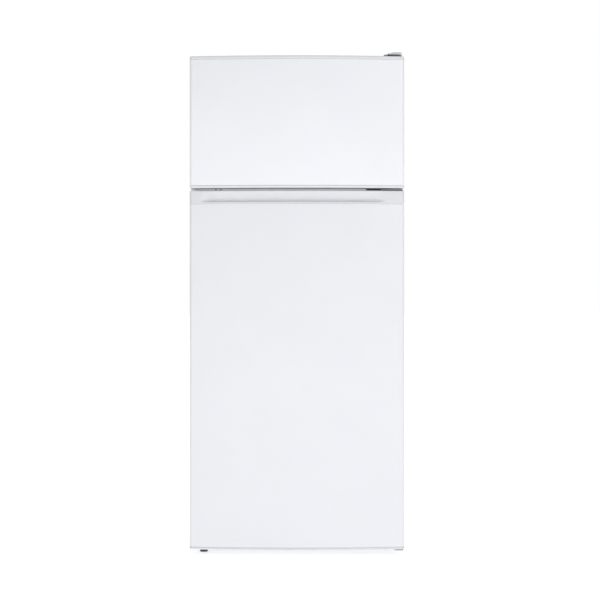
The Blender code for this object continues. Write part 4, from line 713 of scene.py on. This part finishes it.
def top_hinge():
    """The top hinge's plate inside its cover, and its pin down into the freezer door."""
    cover_low, cover_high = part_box("top_hinge_cover")
    low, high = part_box("top_hinge")
    rear = high.y - 0.009
    block(
        "top_hinge_plate",
        (cover_low.x + 0.0118, cover_low.y + 0.0006, cover_low.z),
        (cover_high.x - 0.0062, rear, cover_low.z + 0.0023),
        0.0007,
        PLATE_STEEL,
        "cabinet",
        replaces=("top_hinge",),
        slot="zinc_steel",
    )
    pin("top_hinge_pin", low.z, cover_low.z + 0.0020)


def middle_hinge():
    """An arm and a flange at the mullion, one pin up and down, a washer on each side of the arm."""
    low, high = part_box("middle_hinge")
    block(
        "middle_hinge_arm",
        (PIN.x - 0.045, low.y, MULLION_Z - ARM_HALF),
        (PIN.x + 0.010, high.y - 0.0022, MULLION_Z + ARM_HALF),
        0.0006,
        BRIGHT_ZINC,
        "cabinet",
        replaces=("middle_hinge",),
        slot="zinc_steel",
    )
    right = high.x if high.x < HALF - 0.018 else HALF - 0.0183
    # Painted shade: the flange is coloured near black to read as the shade in the gap
    block(
        "middle_hinge_flange",
        (low.x, high.y - 0.0020, MULLION_Z - 0.0055),
        (right, high.y, MULLION_Z + 0.0055),
        0.0006,
        HINGE_STEEL_PAINTED_SHADE,
        "cabinet",
        slot="zinc_steel",
    )
    pin("middle_hinge_pin", low.z, high.z)
    for index, sign in (("upper", 1), ("lower", -1)):
        washer = [(0.0046, 0.0), (0.0068, 0.0), (0.0068, 0.0011), (0.0046, 0.0011)]
        shape = bmesh.new()
        rings = [
            [
                PIN
                + Vector(
                    (
                        radius * math.cos(2 * math.pi * step / 32),
                        radius * math.sin(2 * math.pi * step / 32),
                        MULLION_Z + sign * (ARM_HALF + 0.0001 + along),
                    )
                )
                for step in range(32)
            ]
            for radius, along in washer
        ]
        skin_rings(shape, rings, closed=True)
        finish_mesh("hinge_washer_" + index, shape, BLACK_PLASTIC, "cabinet", slot="black_plastic")


def cross_screw(name, centre, axis_sign, body, look, replaces=(), radius=0.004, height=0.002):
    """A pan head with a cross recess, facing along Y, on a plain shank."""
    x, y, z = centre
    top = axis_sign * height
    profile = [
        (0.0022, -axis_sign * 0.0003),
        (radius * 0.96, 0.0),
        (radius, top * 0.25),
        (radius * 0.93, top * 0.60),
        (radius * 0.72, top * 0.87),
        (radius * 0.40, top),
        (0.0002, top),
    ]
    head = lathe(
        name, profile, centre, look, body, axis="Y", steps=28, replaces=replaces, slot="zinc_steel"
    )
    face = y + top
    depth = 0.0011
    arm = radius * 0.52
    slot = radius * 0.11
    near = min(face - axis_sign * depth, face + axis_sign * 0.001)
    far = max(face - axis_sign * depth, face + axis_sign * 0.001)
    carve(head, (x - arm, near, z - slot), (x + arm, far, z + slot), 0.00005)
    carve(head, (x - slot, near, z - arm), (x + slot, far, z + arm), 0.00005)


def hinge_screws():
    """The two screws that hold the middle hinge's flange."""
    for index in (1, 2):
        node = f"middle_hinge_screw_{index}"
        low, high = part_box(node)
        centre = ((low.x + high.x) / 2, low.y + 0.0020, (low.z + high.z) / 2)
        # Painted shade: the screws take the same near-black steel, standing in for the shade behind
        # the hinge
        cross_screw("flange_screw_" + str(index), centre, -1, "cabinet", HINGE_STEEL_PAINTED_SHADE, replaces=(node,))


def mullion_trim():
    """A bowed moulded strip in the gap between the doors, from the left side to the hinge."""
    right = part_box("middle_hinge")[0].x - 0.0015
    rear = CABINET_FRONT - 0.0006
    steps = 48
    rings = []
    for step in range(steps + 1):
        x = TRIM_LEFT + (right - TRIM_LEFT) * step / steps
        front = bow(x) + TRIM_SETBACK
        profile = [
            (rear, MULLION_Z - TRIM_HALF),
            (front + TRIM_EDGE, MULLION_Z - TRIM_HALF),
            (front, MULLION_Z - TRIM_HALF + TRIM_EDGE),
            (front, MULLION_Z + TRIM_HALF - TRIM_EDGE),
            (front + TRIM_EDGE, MULLION_Z + TRIM_HALF),
            (rear, MULLION_Z + TRIM_HALF),
        ]
        rings.append([(x, y, z) for y, z in profile])
    return loft("mullion_trim", rings, TRIM_PLASTIC, "cabinet", slot="white_plastic", smooth=30)


def reversal_plugs():
    """Plugs in the holes that would take the hinges on the other side."""
    for index, x in enumerate((-0.2058, -0.193), start=1):
        profile = [(0.0019, 0.0), (0.0019, -0.0003), (0.0015, -0.0006), (0.0002, -0.0007)]
        lathe(
            f"rail_plug_{index}",
            profile,
            (x, bow(x) + TRIM_SETBACK, MULLION_Z),
            FOOT_PLASTIC,
            "cabinet",
            axis="Y",
            slot="black_plastic",
        )
    dome = [(0.0052, 0.0), (0.0052, 0.0005), (0.0044, 0.0010), (0.0024, 0.0013), (0.0002, 0.0014)]
    door_plug = (-PIN.x, PIN.y, FREEZER_TOP)
    lathe("door_top_plug", dome, door_plug, CAP_PLASTIC, "freezer_door", slot="white_plastic")
    top_plugs = ((-0.250, -0.190), (-0.235, -0.170), (-0.250, -0.165))
    for index, (x, y) in enumerate(top_plugs, start=1):
        place = (x, y, CABINET_TOP)
        lathe(f"cabinet_top_plug_{index}", dome, place, CAP_PLASTIC, "cabinet", slot="white_plastic")


# Feet and rollers


def foot(side):
    """A levelling foot: a flared pad, six flats to turn it by and a threaded stem."""
    node = "foot_" + side
    low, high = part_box(node)
    centre = ((low.x + high.x) / 2, (low.y + high.y) / 2, 0.0)
    shape = bmesh.new()
    stem_start = 0.0080
    pad = [
        (0.0096, 0.0), (0.0105, 0.0007), (0.0105, 0.0030), (0.0098, 0.0038),
        (0.0070, 0.0044), (0.0042, 0.0046), (0.0039, 0.0074), (0.0039, stem_start),
    ]
    level = stem_start
    while level < high.z - 0.0012:
        pad += [(0.0040, level + 0.0002), (0.0035, level + 0.0006)]
        level += 0.0010
    pad += [(0.0036, high.z - 0.0004), (0.0030, high.z)]
    add_lathe(shape, pad, centre, steps=30)
    finish_mesh(
        node + "_levelling", shape, FOOT_PLASTIC, node, replaces=(node,), slot="black_plastic"
    )
    nut = [
        (0.0044, 0.0046), (0.0074, 0.0046), (0.0080, 0.0051),
        (0.0080, 0.0072), (0.0074, 0.0077), (0.0044, 0.0077),
    ]
    ring = bmesh.new()
    rows = [
        [
            (
                centre[0] + radius * math.cos(math.pi * step / 3),
                centre[1] + radius * math.sin(math.pi * step / 3),
                along,
            )
            for step in range(6)
        ]
        for radius, along in nut
    ]
    skin_rings(ring, rows, closed=True)
    finish_mesh(node + "_nut", ring, FOOT_PLASTIC, node, slot="black_plastic", smooth=20)


def roller(side):
    """A wheel with a shallow tread, dished sides and an open bore."""
    node = "roller_" + side
    low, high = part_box(node)
    centre = (low + high) / 2
    radius = (high.z - low.z) / 2
    half = (high.x - low.x) / 2
    section = [
        (0.0036, -half), (0.0062, -half), (0.0070, -half + 0.0015), (radius - 0.0030, -half + 0.0015),
        (radius - 0.0022, -half), (radius - 0.0006, -half + 0.0002), (radius, -half + 0.0010),
        (radius, -0.0022), (radius - 0.0007, -0.0017), (radius - 0.0007, 0.0017), (radius, 0.0022),
        (radius, half - 0.0010), (radius - 0.0006, half - 0.0002), (radius - 0.0022, half),
        (radius - 0.0030, half - 0.0015), (0.0070, half - 0.0015), (0.0062, half), (0.0036, half),
    ]
    rings = []
    for distance, along in section:
        rings.append(
            [
                (
                    centre.x + along,
                    centre.y + distance * math.cos(2 * math.pi * step / 40),
                    centre.z + distance * math.sin(2 * math.pi * step / 40),
                )
                for step in range(40)
            ]
        )
    loft(
        node + "_wheel",
        rings,
        BLACK_PLASTIC,
        node,
        closed=True,
        replaces=(node,),
        slot="black_plastic",
    )


# Back: panel, condenser and machinery


def back_panel():
    """The rear sheet with two pressed beads round it."""
    low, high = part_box("back_panel")
    back = high.y
    depth = 0.0005
    steps = [(low.y, 0.0), (back - 0.0002, 0.0), (back, 0.0004)]
    for start in (0.026, 0.075):
        steps += [
            (back, start),
            (back - depth, start + 0.0015),
            (back - depth, start + 0.0065),
            (back, start + 0.008),
        ]
    steps += [(back, 0.15)]
    rings = []
    for y, inset in steps:
        near = (low.x + inset, low.z + inset)
        far = (high.x - inset, high.z - inset)
        rings.append(rounded_ring("Y", y, near, far, 0.006 + 0.15 * inset))
    loft(
        "back_sheet",
        rings,
        SIDE_PAINT,
        "cabinet",
        replaces=("back_panel",),
        slot="white_paint",
        smooth=12,
    )
    back_screws(low, high)
    foam_plugs(high)


def back_screws(low, high):
    """Screws up both sides of the rear panel and along its top and bottom."""
    shape = bmesh.new()
    head = [
        (0.0040, 0.0), (0.0040, 0.0007), (0.0034, 0.0015), (0.0020, 0.0019),
        (0.0012, 0.0019), (0.0010, 0.0011), (0.0001, 0.0011),
    ]
    edge = 0.011
    end = 0.02
    gaps = 6
    rise = high.z - low.z - 2 * end
    across = (-0.16, -0.05, 0.05, 0.16)
    places = [
        (side * (high.x - edge), low.z + end + step * rise / gaps)
        for side in (-1, 1)
        for step in range(gaps + 1)
    ]
    places += [(x, high.z - edge) for x in across]
    places += [(x, low.z + 0.010) for x in across]
    for x, z in places:
        add_lathe(shape, head, (x, high.y + 0.0001, z), "Y", 18)
    finish_mesh("back_screws", shape, ZINC, "cabinet", slot="zinc_steel")


def foam_plugs(high):
    """Two plugs in the holes that the foam was poured through."""
    plugs = bmesh.new()
    disc = [
        (0.0145, 0.0), (0.0145, 0.0008), (0.0135, 0.0016),
        (0.0090, 0.0016), (0.0080, 0.0009), (0.0001, 0.0009),
    ]
    for x in (-0.11, 0.11):
        add_lathe(plugs, disc, (x, high.y + 0.0001, high.z - 0.047), "Y", 36)
    finish_mesh("foam_plugs", plugs, CAP_PLASTIC, "cabinet", slot="white_plastic")


def condenser_routes():
    """The tube's path down the back, its lowest and highest levels and its y."""
    low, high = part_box("condenser_coil")
    y = (low.y + high.y) / 2
    bottom = low.z + TUBE_RADIUS
    top = high.z - TUBE_RADIUS
    pitch = (top - bottom) / (COIL_RUNS - 1)
    reach = COIL_HALF - pitch / 2
    route = []
    for run in range(COIL_RUNS):
        z = top - run * pitch
        side = 1 if run % 2 == 0 else -1
        route += [(-side * reach, y, z), (side * reach, y, z)]
        if run == COIL_RUNS - 1:
            break
        for step in range(1, 12):
            angle = math.pi * step / 12
            out = reach + pitch / 2 * math.sin(angle)
            route.append((side * out, y, z - pitch / 2 * (1 - math.cos(angle))))
    return route, bottom, top, y


def condenser():
    """The serpentine tube with straight wires spot-welded down its back."""
    route, bottom, top, y = condenser_routes()
    wires(
        "condenser_tube",
        [route],
        TUBE_RADIUS,
        BLACK,
        "cabinet",
        3,
        replaces=("condenser_coil",),
        slot="black_paint",
    )
    behind = y + 0.00315
    lines = []
    for index in range(WIRE_COUNT):
        x = WIRE_START + index * WIRE_PITCH
        lines.append([(x, behind, bottom - WIRE_OVERHANG), (x, behind, top + WIRE_OVERHANG)])
    wires("condenser_wires", lines, WIRE_RADIUS, BLACK, "cabinet", 1, slot="black_paint")


def compressor():
    """The welded pot with a domed crown, standing on rubber bushes on a pressed foot plate."""
    low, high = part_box("compressor")
    x = (low.x + high.x) / 2
    y = (low.y + high.y) / 2
    base = low.z + 0.0097
    height = high.z - base
    radius = POT_RADIUS
    waist = base + 0.55 * height
    bead = radius + POT_BEAD
    profile = []
    for step in range(1, 13):
        angle = 0.5 * math.pi * step / 12
        drop = 0.32 * height * (1 - math.cos(angle))
        profile.append((radius * math.sin(angle), high.z - drop))
    profile.insert(0, (0.0005, high.z))
    profile += [(radius, waist + 0.0005), (radius + 0.0024, waist), (bead, waist - 0.0008)]
    profile += [(bead, waist - 0.0072), (radius + 0.0024, waist - 0.008), (radius, waist - 0.0085)]
    for step in range(1, 12):
        angle = 0.5 * math.pi * step / 12
        profile.append((radius * math.cos(angle), base + 0.18 * height * (1 - math.sin(angle))))
    profile.append((0.0005, base))
    lathe(
        "compressor_pot",
        profile,
        (x, y, 0.0),
        BLACK,
        "cabinet",
        steps=64,
        replaces=("compressor",),
        slot="black_paint",
        smooth=50,
    )
    block(
        "compressor_feet",
        (x - 0.090, y - 0.045, base + 0.0012),
        (x + 0.090, y + 0.045, base + 0.0042),
        0.0012,
        BLACK,
        "cabinet",
        slot="black_paint",
    )
    bushes = bmesh.new()
    bolts = bmesh.new()
    bush = [
        (0.0030, 0.0), (0.0090, 0.0), (0.0100, 0.0010), (0.0100, 0.0042), (0.0070, 0.0050),
        (0.0070, 0.0060), (0.0095, 0.0068), (0.0095, 0.0095), (0.0030, 0.0100),
    ]
    bolt = [(0.0025, 0.0), (0.0055, 0.0), (0.0055, 0.0030), (0.0048, 0.0036), (0.0002, 0.0036)]
    for across in (-1, 1):
        for back in (-1, 1):
            place = (x + across * BUSH_ACROSS, y + back * BUSH_BACK)
            add_lathe(bushes, bush, (*place, low.z), steps=24)
            add_lathe(bolts, bolt, (*place, base + 0.0045), steps=6)
    finish_mesh("compressor_bushes", bushes, BLACK_PLASTIC, "cabinet", slot="black_plastic")
    finish_mesh("compressor_bolts", bolts, ZINC, "cabinet", slot="zinc_steel", smooth=25)
    stub = [
        (x - 0.030, y + 0.058, base + 0.080),
        (x - 0.034, y + 0.072, base + 0.084),
        (x - 0.036, y + 0.078, base + 0.095),
        (x - 0.036, y + 0.078, base + 0.118),
    ]
    wires("process_tube", [stub], 0.0030, COPPER, "cabinet", 3, slot="copper")


def drier():
    """The copper drier with its shoulders drawn in at both ends."""
    low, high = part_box("filter_drier")
    centre = ((low.x + high.x) / 2, (low.y + high.y) / 2, 0.0)
    radius = (high.x - low.x) / 2
    profile = [
        (0.0030, high.z), (0.0032, high.z - 0.006), (0.0050, high.z - 0.010),
        (radius - 0.0008, high.z - 0.016), (radius, high.z - 0.018), (radius, low.z + 0.016),
        (radius - 0.0008, low.z + 0.014), (0.0036, low.z + 0.006), (0.0016, low.z + 0.004),
        (0.0014, low.z),
    ]
    lathe(
        "drier_body",
        profile,
        centre,
        COPPER,
        "cabinet",
        steps=36,
        replaces=("filter_drier",),
        slot="copper",
    )


# Inside


def rim_bead(name, node, body, out=0.0012, drop=0.0045, corner=0.0112):
    """A thin lip that runs round the rim of a tray, just outside its wall."""
    low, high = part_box(node)
    rim = high.z
    section = [
        (0.0001, rim - 0.0002),
        (0.0001, rim - drop),
        (out * 0.6, rim - drop),
        (out, rim - drop * 0.8),
        (out, rim - 0.0010),
        (out * 0.7, rim - 0.0003),
    ]
    rings = []
    for grow, z in section:
        near = (low.x - grow, low.y - grow)
        far = (high.x + grow, high.y + grow)
        rings.append(rounded_ring("Z", z, near, far, corner + grow))
    return loft(name, rings, CLEAR_PLASTIC, body, closed=True, slot="clear_plastic")


def shelf_trims(index, node):
    """Plastic channels along a shelf's front and rear edges."""
    low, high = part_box(node)
    for end, edge, inward in (("front", low.y, 1), ("rear", high.y, -1)):
        lip = 0.010
        out = edge - inward * 0.0030
        outline = [
            (out, low.z - 0.0016),
            (edge + inward * lip, low.z - 0.0016),
            (edge + inward * lip, low.z - 0.0002),
            (edge - inward * 0.0003, low.z - 0.0002),
            (edge - inward * 0.0003, high.z + 0.0002),
            (edge + inward * lip, high.z + 0.0002),
            (edge + inward * lip, high.z + 0.0016),
            (out, high.z + 0.0016),
        ]
        trim = prism_along_x(
            f"shelf_trim_{index}_{end}",
            outline,
            low.x + 0.0125,
            high.x - 0.0125,
            LINER_PLASTIC,
            "cabinet",
            slot="liner_plastic",
        )
        soften(trim, 0.0004, 2)


def thermostat_knob():
    """A dial with a raised bar across it and a pointer mark."""
    low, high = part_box("thermostat_knob")
    x = (low.x + high.x) / 2
    z = (low.z + high.z) / 2
    face = low.y
    centre = (x, face, z)
    radius = (high.x - low.x) / 2
    disc = [
        (0.0030, 0.0108),
        (radius - 0.0008, 0.0108),
        (radius, 0.0100),
        (radius, 0.0078),
        (radius - 0.0012, 0.0064),
        (0.0002, 0.0060),
    ]
    lathe(
        "knob_dial",
        disc,
        centre,
        KNOB_PLASTIC,
        "thermostat_knob",
        axis="Y",
        steps=48,
        replaces=("thermostat_knob",),
        slot="white_plastic",
    )
    block(
        "knob_bar",
        (x - 0.0028, face, z - radius + 0.0012),
        (x + 0.0028, face + 0.0070, z + radius - 0.0012),
        0.0012,
        KNOB_PLASTIC,
        "thermostat_knob",
        slot="white_plastic",
    )
    block(
        "knob_pointer",
        (x - 0.0005, face - 0.0002, z + 0.0040),
        (x + 0.0005, face + 0.0005, z + radius - 0.0030),
        0.0001,
        BLACK_PLASTIC,
        "thermostat_knob",
        slot="black_plastic",
    )


def soften_frame():
    """Round the edges of the CAD pieces that stay in sight."""
    widths = {
        "lower_hinge": 0.0006,
        "roller_bracket_left": 0.0005,
        "roller_bracket_right": 0.0005,
        "condenser_bracket_upper": 0.0010,
        "condenser_bracket_lower": 0.0010,
        "control_housing": 0.0012,
        "freezer_shelf": 0.0010,
        "glass_shelf_1": 0.0005,
        "glass_shelf_2": 0.0005,
        "crisper_cover_glass": 0.0005,
        "base_rail": 0.0006,
        "freezer_door_liner": 0.0018,
        "fridge_door_liner": 0.0018,
    }
    for node, width in widths.items():
        soften(frame["nodes"][node], width, 3)


def inside():
    shelves = ("crisper_cover_glass", "glass_shelf_1", "glass_shelf_2", "freezer_shelf")
    for index, node in enumerate(shelves, start=1):
        shelf_trims(index, node)
    rim_bead("bottle_bin_rim", "bottle_bin", "fridge_door")
    rim_bead("middle_bin_rim", "middle_bin", "fridge_door")
    rim_bead("freezer_rack_rim", "freezer_door_rack", "freezer_door")
    thermostat_knob()


def machinery():
    back_panel()
    condenser()
    compressor()
    drier()


def hinges():
    hinge_cover()
    top_hinge()
    middle_hinge()
    hinge_screws()
    mullion_trim()
    reversal_plugs()


# Stage, light and camera

FLOOR_HALF = 60.0
FLOOR_GLOW = 0.65
KEY_WATTS = 34.0
FILL_WATTS = 104.0
KEY_PLACE = (2.6, -3.4, 3.2)
KEY_SIZE = 1.8
FILL_DISTANCE = 6.5
FILL_SIZE = (2.4, 0.5)
SIDE_LEVEL = 0.45
FRONT_LEVEL = 0.42
CAMERA_DISTANCE = 3.9
CAMERA_X = 0.0077
CAMERA_HEIGHT = 0.6505
CAMERA_LENS = 92.7


def area_light(name, place, aim, power, wide, tall):
    """A rectangular light at a place, turned to face its aim."""
    lamp = bpy.data.lights.new(name, "AREA")
    lamp.energy = power
    lamp.shape = "RECTANGLE"
    lamp.size = wide
    lamp.size_y = tall
    obj = bpy.data.objects.new(name, lamp)
    obj.location = place
    obj.rotation_euler = (Vector(aim) - Vector(place)).to_track_quat("-Z", "Y").to_euler()
    bpy.context.scene.collection.objects.link(obj)
    return obj


def stage():
    """A wide pale floor that glows a little, so that it stays white up to its far edge."""
    shape = bmesh.new()
    bmesh.ops.create_grid(shape, x_segments=8, y_segments=8, size=FLOOR_HALF)
    mesh = bpy.data.meshes.new("floor")
    shape.to_mesh(mesh)
    shape.free()
    look = Look("floor", (0.68, 0.68, 0.68), 0.75, Specular_IOR_Level=0.2)
    look.shader.inputs["Emission Color"].default_value = (1.0, 1.0, 1.0, 1.0)
    look.shader.inputs["Emission Strength"].default_value = FLOOR_GLOW
    look.vary_roughness(look.noise(3.0, 3.0), 0.68, 0.82)
    mesh.materials.append(look.material)
    floor = bpy.data.objects.new("floor", mesh)
    bpy.context.scene.collection.objects.link(floor)


def smooth_step(nodes, links, source, start, end, low, high):
    """Blend smoothly from low to high as the source goes from start to end."""
    blend = nodes.new("ShaderNodeMapRange")
    blend.interpolation_type = "SMOOTHSTEP"
    blend.inputs["From Min"].default_value = start
    blend.inputs["From Max"].default_value = end
    blend.inputs["To Min"].default_value = low
    blend.inputs["To Max"].default_value = high
    links.new(source, blend.inputs["Value"])
    return blend.outputs["Result"]


def arithmetic(nodes, links, operation, first, second):
    """A Math node on two numbers, either of them a socket or a plain value."""
    node = nodes.new("ShaderNodeMath")
    node.operation = operation
    for socket, source in zip(node.inputs, (first, second)):
        if isinstance(source, float):
            socket.default_value = source
        else:
            links.new(source, socket)
    return node.outputs["Value"]


def studio():
    """White behind the object, dimmer to its sides and in front, with a soft key and a front fill."""
    world = bpy.data.worlds.new("studio")
    bpy.context.scene.world = world
    world.use_nodes = True
    nodes = world.node_tree.nodes
    links = world.node_tree.links
    background = nodes["Background"]
    background.inputs["Color"].default_value = (1.0, 1.0, 1.0, 1.0)
    split = nodes.new("ShaderNodeSeparateXYZ")
    links.new(nodes.new("ShaderNodeTexCoord").outputs["Generated"], split.inputs["Vector"])
    sideways = arithmetic(nodes, links, "ABSOLUTE", split.outputs["X"], 0.0)
    aside = smooth_step(nodes, links, sideways, 0.35, 0.90, 1.0, SIDE_LEVEL)
    ahead = smooth_step(nodes, links, split.outputs["Y"], -0.25, 0.25, 1.0 - FRONT_LEVEL, 0.0)
    raised = smooth_step(nodes, links, split.outputs["Z"], 0.10, 0.35, 0.0, 1.0)
    shaded = arithmetic(nodes, links, "MULTIPLY", ahead, raised)
    front = arithmetic(nodes, links, "SUBTRACT", 1.0, shaded)
    links.new(arithmetic(nodes, links, "MULTIPLY", aside, front), background.inputs["Strength"])
    area_light("key", KEY_PLACE, (0, 0, 0.7), KEY_WATTS, KEY_SIZE, KEY_SIZE)
    place = (0.0, FRONT - FILL_DISTANCE, MULLION_Z)
    fill = area_light("front_fill", place, (0, 0, MULLION_Z), FILL_WATTS, *FILL_SIZE)
    fill.visible_glossy = False
    bpy.context.scene.view_settings.view_transform = "Standard"


def camera():
    data = bpy.data.cameras.new("camera")
    data.sensor_width = 36.0
    data.lens = CAMERA_LENS
    obj = bpy.data.objects.new("camera", data)
    obj.location = (CAMERA_X, FRONT - CAMERA_DISTANCE, CAMERA_HEIGHT)
    obj.rotation_euler = (math.radians(90.0), 0.0, 0.0)
    bpy.context.scene.collection.objects.link(obj)
    bpy.context.scene.camera = obj


camera()
dress_frame()
soften_frame()
doors()
hinges()
foot("left")
foot("right")
roller("left")
roller("right")
machinery()
inside()
stage()
studio()
